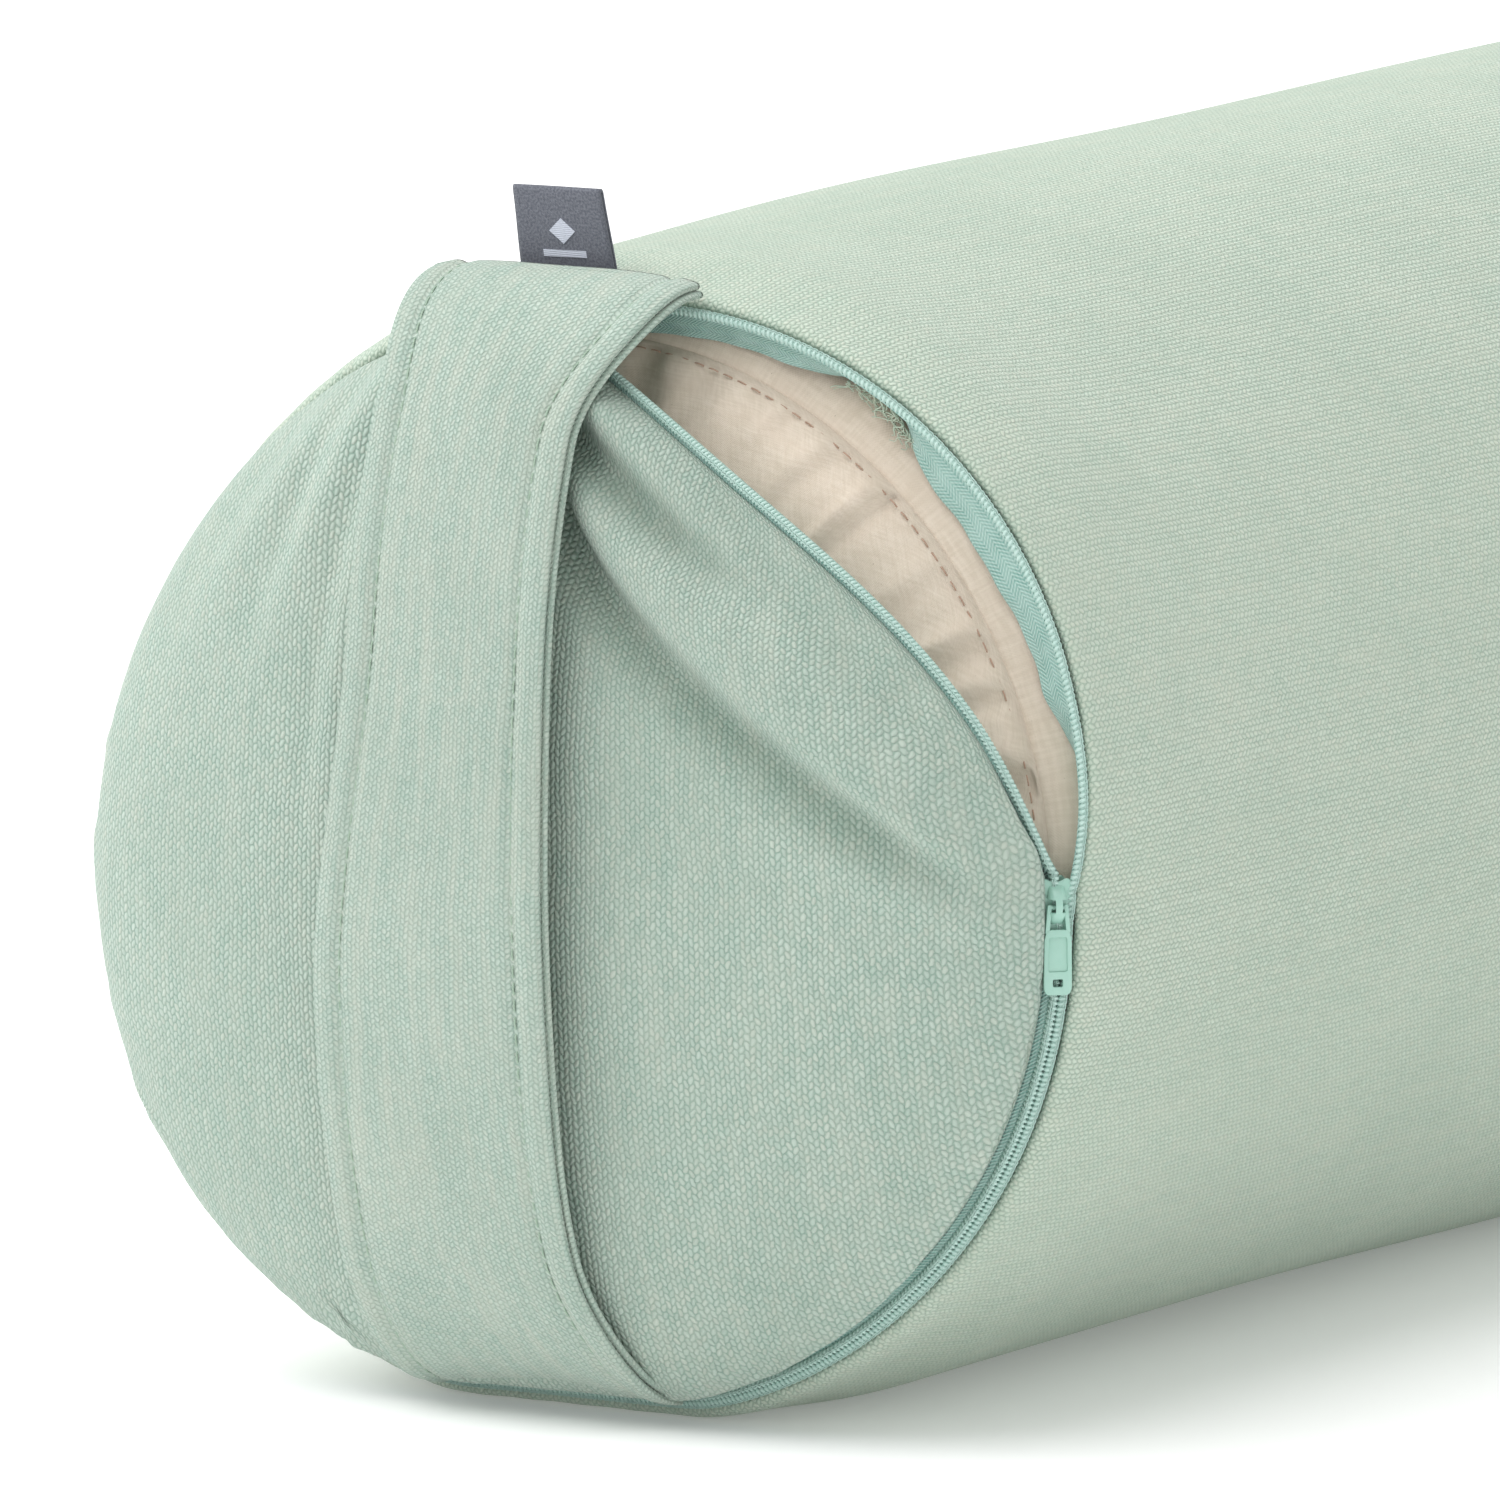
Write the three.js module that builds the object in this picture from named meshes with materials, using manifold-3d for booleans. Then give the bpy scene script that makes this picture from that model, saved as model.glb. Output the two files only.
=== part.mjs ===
// Bolster pillow: a round cushion lying on its side, with a zipped cover and an inner casing.
// Millimetres. +X runs along the cushion from the zip end to the plain end, +Z is up,
// and the origin is on the floor under the middle of the cushion.
import * as THREE from 'three';
import { mergeVertices } from 'three/addons/utils/BufferGeometryUtils.js';
import Module from 'manifold-3d';

// ---- Driving dimensions ----
const TUBE_RADIUS = 110;
const RIM_SPACING = 580;        // between the two end seams
const STRAP_REACH = 43;         // how far the strap stands out from the zip end's seam
const PLAIN_CROWN = 36;         // bulge of the plain end
const ZIP_CROWN = 34;           // bulge of the zip end, under the strap
const FLOOR_SAG = 3.8;          // how far the weight flattens the underside
const CANVAS = 1.6;             // thickness of the cover cloth with its facing
const CASING = 1;               // thickness of the inner casing's cloth
const LAYER_GAP = 0.5;          // air between one layer and the next
const FULLNESS = 2.3;           // exponent of the crowned ends: 2 is an ellipse, more is fuller
const SEGMENTS = 48;            // facets round the cushion

const ZIP_RADIUS = 106;         // of the zip's centre line, on the bevel between tube and end
const ZIP_SETBACK = -0.5;       // of the zip's centre line along X from the seam plane
const COIL_WIDTH = 1.9;
const COIL_HEIGHT = 1.6;
const TAPE = 0.6;
const TAPE_REACH = 4.5;         // across the bevel, from the centre line to the tape's fold
const TAPE_DROP = 7.6;          // how deep the tape's folded edge hangs inside
const CLOSED_HALF_GAP = 0.15;   // between the centre line and each coil where the zip is shut
const OPEN_HALF_GAP = 0.9;      // where the slider has parted the coils
const ZIP_TOP = 98;             // degrees round the end: 0 is +Y, 90 is the top, 180 is -Y
const ZIP_BOTTOM = 334;
const SLIDER_AT = 180;
const MOUTH_TOP = 86;           // the open flap sags between these two angles
const MOUTH_BOTTOM = 172.5;
const MOUTH_SAG = 14;

const FACET = 360 / SEGMENTS;
const AXIS_HEIGHT = TUBE_RADIUS - FLOOR_SAG;
const MIDDLE = (RIM_SPACING + PLAIN_CROWN - STRAP_REACH) / 2;
const ZIP_END_X = -MIDDLE;
const PLAIN_END_X = RIM_SPACING - MIDDLE;
const EDGE_SETBACK = 5.2;       // of both cloth edges from the zip's seam plane
const PANEL_RADIUS = 102;       // of the zip end panel's sewn edge

const CLOTH = { color: 0xbdcdbf, roughness: 0.95, metalness: 0 };
const ZIP = { color: 0x9cc6bb, roughness: 0.8, metalness: 0 };
const COTTON = { color: 0xd6cab8, roughness: 0.95, metalness: 0 };
const LABEL = { color: 0x71747d, roughness: 0.85, metalness: 0 };
const PAINTED = { color: 0xa5c5b8, roughness: 0.4, metalness: 0.1 };
const FIBRE = { color: 0xe9e2d2, roughness: 1, metalness: 0 };

const wasm = await Module();
wasm.setup();
const bolster = new THREE.Group();

// ---- Closed solids ----
function welded(geometry) {
  const bare = geometry.clone();
  bare.deleteAttribute('normal');
  bare.deleteAttribute('uv');
  const merged = mergeVertices(bare, 1e-3);
  const corners = merged.index.array;
  const kept = [];
  for (let i = 0; i < corners.length; i += 3) {
    const [a, b, c] = [corners[i], corners[i + 1], corners[i + 2]];
    if (a !== b && b !== c && c !== a) kept.push(a, b, c);
  }
  merged.setIndex(kept);
  return merged;
}

function signedVolume(geometry) {
  const at = geometry.getAttribute('position');
  const index = geometry.index.array;
  const [a, b, c] = [new THREE.Vector3(), new THREE.Vector3(), new THREE.Vector3()];
  let six = 0;
  for (let i = 0; i < index.length; i += 3) {
    a.fromBufferAttribute(at, index[i]);
    b.fromBufferAttribute(at, index[i + 1]);
    c.fromBufferAttribute(at, index[i + 2]);
    six += a.dot(b.cross(c));
  }
  return six / 6;
}

function outward(geometry) {
  if (signedVolume(geometry) < 0) geometry.setIndex(Array.from(geometry.index.array).reverse());
  return geometry;
}

// Moves each vertex by place(x, y, z), which returns its new coordinates.
function mapped(geometry, place) {
  const at = geometry.getAttribute('position');
  for (let i = 0; i < at.count; i += 1) {
    at.setXYZ(i, ...place(at.getX(i), at.getY(i), at.getZ(i)));
  }
  return geometry;
}

// A point given round the cushion's own axis, as it lies on the floor: the underside is flattened.
function settled(x, y, z) {
  const reach = Math.hypot(y, z);
  const straightDown = z < 0 ? (AXIS_HEIGHT * reach) / -z : Infinity;
  return [x, y, AXIS_HEIGHT + z * Math.min(1, straightDown / TUBE_RADIUS)];
}

function add(name, geometry, look, parent = bolster) {
  const material = new THREE.MeshStandardMaterial(look);
  const mesh = new THREE.Mesh(outward(welded(geometry)), material);
  mesh.name = name;
  parent.add(mesh);
  return mesh;
}

// ---- Turned shells: a profile of [radius, x] points, turned round the cushion's axis ----
function turned(profile, reshape = settled) {
  const points = profile.map(([radius, x]) => new THREE.Vector2(radius, x));
  const lathe = new THREE.LatheGeometry(points, SEGMENTS);
  lathe.rotateZ(-Math.PI / 2);
  return mapped(lathe, reshape);
}

// Points of a crowned end from its edge in to the axis; side is -1 at the zip end, 1 at the other.
function crown(radius, height, edgeX, side, steps = 5) {
  const points = [];
  for (let i = 0; i <= steps; i += 1) {
    const turn = (i / steps) * (Math.PI / 2);
    const share = 2 / FULLNESS;
    points.push([radius * Math.cos(turn) ** share, edgeX + side * height * Math.sin(turn) ** share]);
  }
  points[steps][0] = 0;
  return points;
}

function shellEnd(radius, height, edgeX, side, thickness, steps) {
  const outer = crown(radius, height, edgeX, side, steps);
  const inner = crown(radius, height, edgeX - side * thickness, side, steps);
  return [...outer.reverse(), ...inner];
}

function sleeve(outline, thickness) {
  const inner = outline.map(([radius, x]) => [radius - thickness, x]);
  return [...outline, ...inner.reverse(), outline[0]];
}

// ---- The zip end's edge: an angle round the end, and [across, out] on the 45 degree bevel ----
const radians = THREE.MathUtils.degToRad;

function panelX(radius) {
  const share = 1 - Math.min(1, radius / PANEL_RADIUS) ** FULLNESS;
  return -EDGE_SETBACK - (ZIP_CROWN - EDGE_SETBACK) * share ** (1 / FULLNESS);
}

// How far the loose flap's edge has sagged towards the middle at an angle in degrees.
function flapSag(angle) {
  const along = (angle - MOUTH_TOP) / (MOUTH_BOTTOM - MOUTH_TOP);
  if (along <= 0 || along >= 1) return 0;
  return MOUTH_SAG * Math.sin(Math.PI * along ** 0.8) ** 1.5;
}

// The flap edge's [shift along X, shift inwards], straight between the panel's facet corners.
function flapShift(angle) {
  const low = Math.floor(angle / FACET) * FACET;
  const share = (angle - low) / FACET;
  const [[x0, sag0], [x1, sag1]] = [low, low + FACET].map((corner) => {
    const sag = flapSag(corner);
    return [panelX(PANEL_RADIUS - sag) + EDGE_SETBACK, sag];
  });
  return [THREE.MathUtils.lerp(x0, x1, share), THREE.MathUtils.lerp(sag0, sag1, share)];
}

function onRim(angle, x, radius) {
  const turn = radians(angle);
  return settled(ZIP_END_X + x, radius * Math.cos(turn), radius * Math.sin(turn));
}

// The angles from one end of a strip to the other, with every whole step between them.
function stations(from, to, step) {
  const angles = [from];
  for (let angle = Math.floor(from / step + 1) * step; angle < to - 0.1; angle += step) {
    angles.push(angle);
  }
  return [...angles, to];
}

// A strip with a constant section of [across, out] points, swept round the zip end's bevel.
function rimStrip(section, from, to, { flap = false, parting = 0, step = FACET / 2 } = {}) {
  const shape = new THREE.Shape(section.map(([across, out]) => new THREE.Vector2(across, out)));
  const angles = stations(from, to, step);
  const steps = angles.length - 1;
  const bar = new THREE.ExtrudeGeometry(shape, { depth: 1, steps, bevelEnabled: false });
  return mapped(bar, (across, out, along) => {
    const angle = angles[Math.round(along * steps)];
    const parted = THREE.MathUtils.smoothstep(SLIDER_AT + 1.5 - angle, 0, 2.3);
    const near = Math.abs(across) < TAPE_REACH - 0.7 ? 1 : 0;
    const spread = across + parting * parted * near * (OPEN_HALF_GAP - CLOSED_HALF_GAP);
    const [shift, sag] = flap ? flapShift(angle) : [0, 0];
    const x = ZIP_SETBACK + (spread - out) / Math.SQRT2 + shift;
    const radius = ZIP_RADIUS + (spread + out) / Math.SQRT2 - sag;
    return onRim(angle, x, radius);
  });
}

function coilSection(side) {
  const near = side * CLOSED_HALF_GAP;
  const far = side * (CLOSED_HALF_GAP + COIL_WIDTH);
  const half = COIL_HEIGHT / 2;
  return [[near, -half], [far, -half], [far, half], [near, half]];
}

function tapeSection(side) {
  const top = -COIL_HEIGHT / 2 - 0.3;
  const fold = side * TAPE_REACH;
  const inside = side * (TAPE_REACH - TAPE);
  const edge = side * (CLOSED_HALF_GAP + 0.1);
  return [[edge, top], [fold, top], [fold, -TAPE_DROP], [inside, -TAPE_DROP],
    [inside, top - TAPE], [edge, top - TAPE]];
}

// ---- Cover ----
const tubeStart = ZIP_END_X + EDGE_SETBACK;
add('cover_tube', turned(sleeve([
  [TUBE_RADIUS, tubeStart],
  [TUBE_RADIUS, -MIDDLE / 2],
  [TUBE_RADIUS, MIDDLE / 2],
  [TUBE_RADIUS, PLAIN_END_X - CANVAS - 0.6],
], CANVAS)), CLOTH);

// The end panel's edge follows the sagging flap where the zip is open.
function flapped(x, y, z) {
  const radius = Math.hypot(y, z);
  const angle = (THREE.MathUtils.radToDeg(Math.atan2(z, y)) + 360) % 360;
  const pull = flapSag(angle) * THREE.MathUtils.smoothstep(radius, 50, PANEL_RADIUS);
  const shift = panelX(radius - pull) - panelX(radius);
  const scale = radius > 0 ? (radius - pull) / radius : 1;
  return settled(x + shift, y * scale, z * scale);
}
add('cover_zip_end_panel', turned(
  shellEnd(PANEL_RADIUS, ZIP_CROWN - EDGE_SETBACK, ZIP_END_X - EDGE_SETBACK, -1, CANVAS, 7),
  flapped,
), CLOTH);

add('cover_plain_end_panel', turned(
  shellEnd(TUBE_RADIUS - 0.6, PLAIN_CROWN, PLAIN_END_X, 1, CANVAS),
), CLOTH);

const ALLOWANCE = 8;            // how far a raw edge stands inside a seam
const plainRing = TUBE_RADIUS - CANVAS - LAYER_GAP;
add('cover_plain_end_seam_allowance', turned(
  sleeve([[plainRing, PLAIN_END_X - 4.2], [plainRing, PLAIN_END_X - 2.6]], ALLOWANCE),
), CLOTH);

add('cover_zip_end_seam_allowance', rimStrip(
  [[-3.9, 0], [-3.9, -1.2], [-0.8, -1.2], [-0.8, -TAPE_DROP],
    [0.8, -TAPE_DROP], [0.8, -1.2], [3.9, -1.2], [3.9, 0]],
  ZIP_BOTTOM + 6, 360 + ZIP_TOP - 6, { step: FACET },
), CLOTH);

// A flat strip that lies inside a tube along its length, at an angle round it.
function lengthwiseStrip(radius, angle, width, thickness, from, to) {
  const strip = new THREE.BoxGeometry(to - from, width, thickness);
  strip.translate((from + to) / 2, 0, radius - thickness / 2);
  strip.rotateX(radians(angle - 90));
  return mapped(strip, settled);
}
const LONG_SEAM = 330;          // degrees round: low on the +Y side
const betweenLayers = TUBE_RADIUS - CANVAS - 0.3;
add('cover_long_seam_allowance', lengthwiseStrip(
  betweenLayers - 0.3, LONG_SEAM, 2 * ALLOWANCE, 1.2, tubeStart + 20, PLAIN_END_X - 14,
), CLOTH);

// ---- Strap: two plies over the zip end, from the top seam to the panel's lower edge ----
const STRAP_PLY = 1.1;
const STRAP_TOP_RADIUS = 111.6;
const STRAP_FOOT_RADIUS = 104.2;
const STRAP_STEPS = 22;

function strapPoint(share, depth) {
  const turn = Math.PI / 2 - share * Math.PI;
  const power = 2 / FULLNESS;
  const radius = THREE.MathUtils.lerp(STRAP_TOP_RADIUS, STRAP_FOOT_RADIUS, share) - depth * 0.95;
  const reach = STRAP_REACH - depth;
  const height = Math.sign(Math.sin(turn)) * radius * Math.abs(Math.sin(turn)) ** power;
  return [-reach * Math.abs(Math.cos(turn)) ** power, height];
}

function strapPly(depth, trim) {
  const [first, last] = [0.012, 0.972];
  const outer = [];
  const inner = [];
  for (let i = 0; i <= STRAP_STEPS; i += 1) {
    const share = first + ((last - first) * i) / STRAP_STEPS;
    outer.push(new THREE.Vector2(...strapPoint(share, depth)));
    inner.push(new THREE.Vector2(...strapPoint(share, depth + STRAP_PLY)));
  }
  outer.unshift(new THREE.Vector2(2.2, STRAP_TOP_RADIUS - depth));
  inner.unshift(new THREE.Vector2(2.2, STRAP_TOP_RADIUS - depth - STRAP_PLY));
  const shape = new THREE.Shape([...outer, ...inner.reverse()]);
  const ribbon = new THREE.ExtrudeGeometry(shape, { depth: 1, steps: 1, bevelEnabled: false });
  return mapped(ribbon, (x, height, across) => {
    const down = (TUBE_RADIUS - height) / (2 * TUBE_RADIUS);
    const width = 56 - 4 * Math.sin(Math.PI * THREE.MathUtils.clamp(down, 0, 1)) - trim;
    return settled(ZIP_END_X + x, 2 + 9 * down + (across - 0.5) * width, height);
  });
}
add('handle_strap_face', strapPly(0, 3), CLOTH);
add('handle_strap_back', strapPly(STRAP_PLY + LAYER_GAP, 0), CLOTH);

// ---- Label tab: a folded ribbon standing in the top seam ----
const label = new THREE.BoxGeometry(1, 21, 18);
label.translate(ZIP_END_X + 3.6, 2.5, TUBE_RADIUS + 0.4 + 9);
add('label_tab', mapped(label, settled), LABEL);

// ---- Zip ----
add('zip_coil_tube_side', rimStrip(coilSection(1), ZIP_TOP, ZIP_BOTTOM, { parting: 1 }), ZIP);
add('zip_coil_panel_side', rimStrip(
  coilSection(-1), ZIP_TOP, ZIP_BOTTOM, { parting: -1, flap: true },
), ZIP);
add('zip_tape_tube_side', rimStrip(
  tapeSection(1), ZIP_TOP - 4, ZIP_BOTTOM + 5, { parting: 1, step: FACET },
), ZIP);
add('zip_tape_panel_side', rimStrip(
  tapeSection(-1), ZIP_TOP - 4, ZIP_BOTTOM + 5, { parting: -1, flap: true, step: FACET },
), ZIP);

function topStop(side) {
  const near = side * (OPEN_HALF_GAP + 0.1);
  const far = side * (OPEN_HALF_GAP + COIL_WIDTH);
  return rimStrip([[near, -0.8], [far, -0.8], [far, 1], [near, 1]], ZIP_TOP - 1.6, ZIP_TOP - 0.3,
    { flap: side < 0 });
}
add('zip_top_stop_tube_side', topStop(1), PAINTED);
add('zip_top_stop_panel_side', topStop(-1), PAINTED);
add('zip_bottom_stop', rimStrip(
  [[-2.3, -0.8], [2.3, -0.8], [2.3, 1], [-2.3, 1]], ZIP_BOTTOM + 0.3, ZIP_BOTTOM + 1.8,
), PAINTED);

// The slider's own frame: X across the zip to the tube's side, Y along it to the open mouth, Z out.
const sliderFrame = new THREE.Group();
sliderFrame.position.set(ZIP_END_X + ZIP_SETBACK, -ZIP_RADIUS, AXIS_HEIGHT);
sliderFrame.quaternion.setFromRotationMatrix(new THREE.Matrix4().makeBasis(
  new THREE.Vector3(1, -1, 0).normalize(),
  new THREE.Vector3(0, 0, 1),
  new THREE.Vector3(-1, -1, 0).normalize(),
));
bolster.add(sliderFrame);

function toManifold(geometry) {
  const closed = outward(welded(geometry));
  return new wasm.Manifold(new wasm.Mesh({
    numProp: 3,
    vertProperties: new Float32Array(closed.getAttribute('position').array),
    triVerts: new Uint32Array(closed.index.array),
  }));
}

function fromManifold(manifold) {
  const mesh = manifold.getMesh();
  const geometry = new THREE.BufferGeometry();
  geometry.setAttribute('position', new THREE.BufferAttribute(mesh.vertProperties, 3));
  geometry.setIndex(new THREE.BufferAttribute(mesh.triVerts, 1));
  return geometry;
}

// A block from its centre and size in the slider's frame.
function block([x, y, z], [width, length, height]) {
  return new THREE.BoxGeometry(width, length, height).translate(x, y, z);
}

const SLIDER_LENGTH = 11;
const SLIDER_WIDTH = 7.6;
const SLIDER_PLATE = 0.8;
const UPPER_PLATE_Z = 1.5;
const LOWER_PLATE_Z = -2.4;
const PIVOT_Z = 3;              // the pull tab's bar runs through the bridge at this height

// The bridge is an arch along the slider with a window that the pull's bar sits in.
function bridge() {
  const arch = new THREE.Shape();
  arch.moveTo(-3.4, UPPER_PLATE_Z);
  arch.lineTo(-2.9, 3.2);
  arch.quadraticCurveTo(-2.4, 4.7, 0, 4.7);
  arch.quadraticCurveTo(2.4, 4.7, 2.9, 3.2);
  arch.lineTo(3.4, UPPER_PLATE_Z);
  arch.closePath();
  const window = new THREE.Path();
  window.moveTo(-2.2, 2.1);
  window.lineTo(2.2, 2.1);
  window.lineTo(2, 3.9);
  window.lineTo(-2, 3.9);
  window.closePath();
  arch.holes.push(window);
  const across = new THREE.ExtrudeGeometry(arch, { depth: 1.6, bevelEnabled: false, curveSegments: 5 });
  across.translate(0, 0, -0.8);
  return mapped(across, (y, z, x) => [x, y, z]);
}

const flangeX = SLIDER_WIDTH / 2 - 0.35;
const sliderBody = [
  block([0, 0, LOWER_PLATE_Z], [SLIDER_WIDTH - 1, SLIDER_LENGTH, SLIDER_PLATE]),
  block([flangeX, 0, 0.35], [0.7, SLIDER_LENGTH, 2.3]),
  block([-flangeX, 0, 0.35], [0.7, SLIDER_LENGTH, 2.3]),
  block([0, 3.3, -0.4], [1.1, 2.6, 3.6]),
  bridge(),
].reduce(
  (body, piece) => body.add(toManifold(piece)),
  toManifold(block([0, 0, UPPER_PLATE_Z], [SLIDER_WIDTH, SLIDER_LENGTH, SLIDER_PLATE])),
).subtract(toManifold(block([0, -1.5, UPPER_PLATE_Z], [1, 1, 3])));
add('zip_slider_body', fromManifold(sliderBody), PAINTED, sliderFrame);

// The pull hangs from a bar through the bridge: two arms, a plate and a small slot near its foot.
const pullTab = [
  block([1.5, -2, PIVOT_Z], [0.8, 5, 0.9]),
  block([-1.5, -2, PIVOT_Z], [0.8, 5, 0.9]),
  block([0, -10.5, PIVOT_Z], [5.4, 12.4, 1]),
].reduce(
  (body, piece) => body.add(toManifold(piece)),
  toManifold(new THREE.CylinderGeometry(0.45, 0.45, 3.6, 10).rotateZ(Math.PI / 2).translate(0, 0, PIVOT_Z)),
).subtract(toManifold(block([0, -14.6, PIVOT_Z], [2, 1.4, 3])))
  .subtract(toManifold(block([0, -9, PIVOT_Z + 0.5], [3.4, 6.4, 0.6])));
add('zip_pull_tab', fromManifold(pullTab), PAINTED, sliderFrame);
add('zip_lock_pin', block([0, -1.5, 1.75], [0.5, 0.5, 1.5]), PAINTED, sliderFrame);

// ---- Inner casing and filling ----
const CASING_RADIUS = TUBE_RADIUS - CANVAS - 1.9;
const SHOULDER = 15;            // how far the casing's ends draw in below its tube
const CASING_SEAM_RADIUS = CASING_RADIUS - SHOULDER;
const CASING_ALLOWANCE = 5;

// Each end's casing seam along X, the way its end faces, and how far its end panel bulges.
const casingEnds = {
  zip: { x: ZIP_END_X - 3.5, side: -1, crown: 22 },
  plain: { x: PLAIN_END_X - 6, side: 1, crown: 39 },
};

// The round shoulder from the casing's tube to its end seam, from the seam inwards.
function shoulder({ x, side }, inset = 0) {
  return [[0.5, 0.3], [5, 6], [9.5, 10.5], [12.5, 17.5], [SHOULDER, 27]].map(([rise, back]) => [
    CASING_SEAM_RADIUS + rise - inset, x - side * back,
  ]);
}
add('casing_tube', turned(sleeve(
  [...shoulder(casingEnds.zip), ...shoulder(casingEnds.plain).reverse()], CASING,
)), COTTON);

for (const [end, { x, side, crown: height }] of Object.entries(casingEnds)) {
  add(`casing_${end}_end_panel`, turned(
    shellEnd(CASING_SEAM_RADIUS - 0.5, height, x + side * 0.2, side, CASING),
  ), COTTON);
  const radius = CASING_SEAM_RADIUS - CASING - 0.8;
  add(`casing_${end}_end_seam_allowance`, turned(sleeve(
    [[radius, x - side * 3.2], [radius, x - side * 2.2]], CASING_ALLOWANCE,
  )), COTTON);
}
add('casing_long_seam_allowance', lengthwiseStrip(
  CASING_RADIUS - CASING - 0.9, LONG_SEAM - 30, 12, 0.8,
  casingEnds.zip.x + 34, casingEnds.plain.x - 34,
), COTTON);

const fillRadius = CASING_RADIUS - 3.4;
const fillEndRadius = CASING_SEAM_RADIUS - CASING_ALLOWANCE - 3.2;
function fillEnd({ x, side, crown: height }) {
  return [...crown(fillEndRadius, height - 3.5, x - side * 2, side).reverse(),
    [fillRadius - 9, x - side * 17], [fillRadius, x - side * 32]];
}
add('filling_core', turned(
  [...fillEnd(casingEnds.zip), ...fillEnd(casingEnds.plain).reverse()],
), FIBRE);

export default bolster;
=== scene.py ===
import math
import random

import bmesh
import bpy
import numpy as np
from mathutils import Matrix, Vector


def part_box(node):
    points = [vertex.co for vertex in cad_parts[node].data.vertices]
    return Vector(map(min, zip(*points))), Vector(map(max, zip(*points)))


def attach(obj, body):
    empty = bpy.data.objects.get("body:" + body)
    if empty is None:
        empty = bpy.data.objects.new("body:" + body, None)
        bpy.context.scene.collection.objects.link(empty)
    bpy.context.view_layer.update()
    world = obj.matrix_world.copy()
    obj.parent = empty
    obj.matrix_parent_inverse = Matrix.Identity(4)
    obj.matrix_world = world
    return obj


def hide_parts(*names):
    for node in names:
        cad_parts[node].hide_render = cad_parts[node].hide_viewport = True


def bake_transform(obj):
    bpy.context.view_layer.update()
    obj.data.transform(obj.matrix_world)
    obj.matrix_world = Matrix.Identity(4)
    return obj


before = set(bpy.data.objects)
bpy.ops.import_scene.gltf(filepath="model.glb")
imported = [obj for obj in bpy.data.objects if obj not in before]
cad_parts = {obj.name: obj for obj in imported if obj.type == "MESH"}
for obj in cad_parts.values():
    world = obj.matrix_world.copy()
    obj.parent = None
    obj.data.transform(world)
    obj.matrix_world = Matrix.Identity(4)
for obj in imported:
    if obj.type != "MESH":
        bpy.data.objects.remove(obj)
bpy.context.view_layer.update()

bpy.context.scene.view_settings.view_transform = "Standard"

# ---- Driving dimensions, in millimetres, about the zip end's seam plane and the cushion's axis ----
TUBE_RADIUS = 110.0
RIM_SPACING = 580.0
tube_low, tube_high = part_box("cover_tube")
SEAM_X = tube_low.x * 1000 - 5.2
AXIS = tube_high.z * 1000 - TUBE_RADIUS
FULLNESS = 2.3                  # exponent of the crowned ends
PANEL_EDGE = 105.0              # radius of the zip end panel's crown where it meets the zip
PANEL_CROWN = 31.7
ZIP_RADIUS = 106.0
ZIP_SETBACK = -0.5
COIL_HALF = 0.75                # from the chain's centre line to the middle of each coil
EDGE_HALF = 2.15                # from the centre line to each cloth edge along the zip
SEAM_HALF = 0.3                 # the same along the plain part of the rim seam
COIL_PITCH = 0.98
COIL_STEPS = 12                 # points in each turn of the coil
COIL_WIRE = 0.37
ZIP_TOP = 96.0
ZIP_BOTTOM = 334.0
SLIDER_AT = 180.0
STRAP_REACH = 42.6
STRAP_TOP = 112.5
STRAP_FOOT = 103.4
CASING_SEAM = (2.0, 101.5)      # x and radius of the casing's topstitched end seam
DIAGONAL = math.sqrt(0.5)
CANVAS_THICK = 0.9
PLY_THICK = 1.35
STRAP_STITCH_INSET = 6.0
MOUTH_DEPTH = 10.8              # how far the filling pushes the open mouth's rim outward
PANEL_GRID = 96                 # rows and columns of the zip end panel
DRAPE_FRAMES = 36


def bell(angle, centre, width):
    away = (np.asarray(angle, float) - centre + 180.0) % 360.0 - 180.0
    return np.exp(-((away / width) ** 2))


def smooth(value, low, high):
    s = np.clip((np.asarray(value, float) - low) / (high - low), 0.0, 1.0)
    return s * s * (3 - 2 * s)


def superellipse(u):
    return np.maximum(0.0, 1 - np.abs(u) ** FULLNESS) ** (1 / FULLNESS)


def settled(points):
    """Millimetre points about the axis, as they lie on the floor, in metres in the row frame."""
    p = np.asarray(points, float)
    x, y, z = p[..., 0], p[..., 1], p[..., 2]
    reach = np.maximum(np.hypot(y, z), 1e-6)
    down = np.maximum(-z, 0) / reach
    flat = (AXIS / TUBE_RADIUS) / np.maximum(down, 0.3)
    share = (1 + flat - np.sqrt((1 - flat) ** 2 + 0.0002)) / 2
    height = np.maximum(AXIS + np.where(z < 0, z * share, z), 0.15)
    return np.stack([SEAM_X + x, y, height], -1) / 1000


# ---- Camera ----
def place_camera():
    turn, drop = math.radians(31.85), math.radians(8.65)
    look = Vector((math.cos(drop) * math.cos(turn), math.cos(drop) * math.sin(turn), -math.sin(drop)))
    right = look.cross(Vector((0, 0, 1))).normalized()
    up = right.cross(look)
    camera = bpy.data.cameras.new("camera")
    camera.lens = 631.4
    camera.sensor_width = 36
    camera.clip_end = 200
    holder = bpy.data.objects.new("camera", camera)
    bpy.context.scene.collection.objects.link(holder)
    middle = Vector((SEAM_X / 1000, 0, 0.1))
    holder.matrix_world = Matrix.Translation(
        middle - 5 * look + 0.0327 * right + 0.0268 * up
    ) @ Matrix((right, up, -look)).transposed().to_4x4()
    bpy.context.scene.camera = holder


place_camera()


# ---- Floor and light ----
def rgb(r, g, b):
    """An 8-bit screen colour as the linear colour that a shader takes."""
    return tuple(
        (c / 255 / 12.92 if c / 255 <= 0.04045 else ((c / 255 + 0.055) / 1.055) ** 2.4)
        for c in (r, g, b)
    ) + (1.0,)


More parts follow.
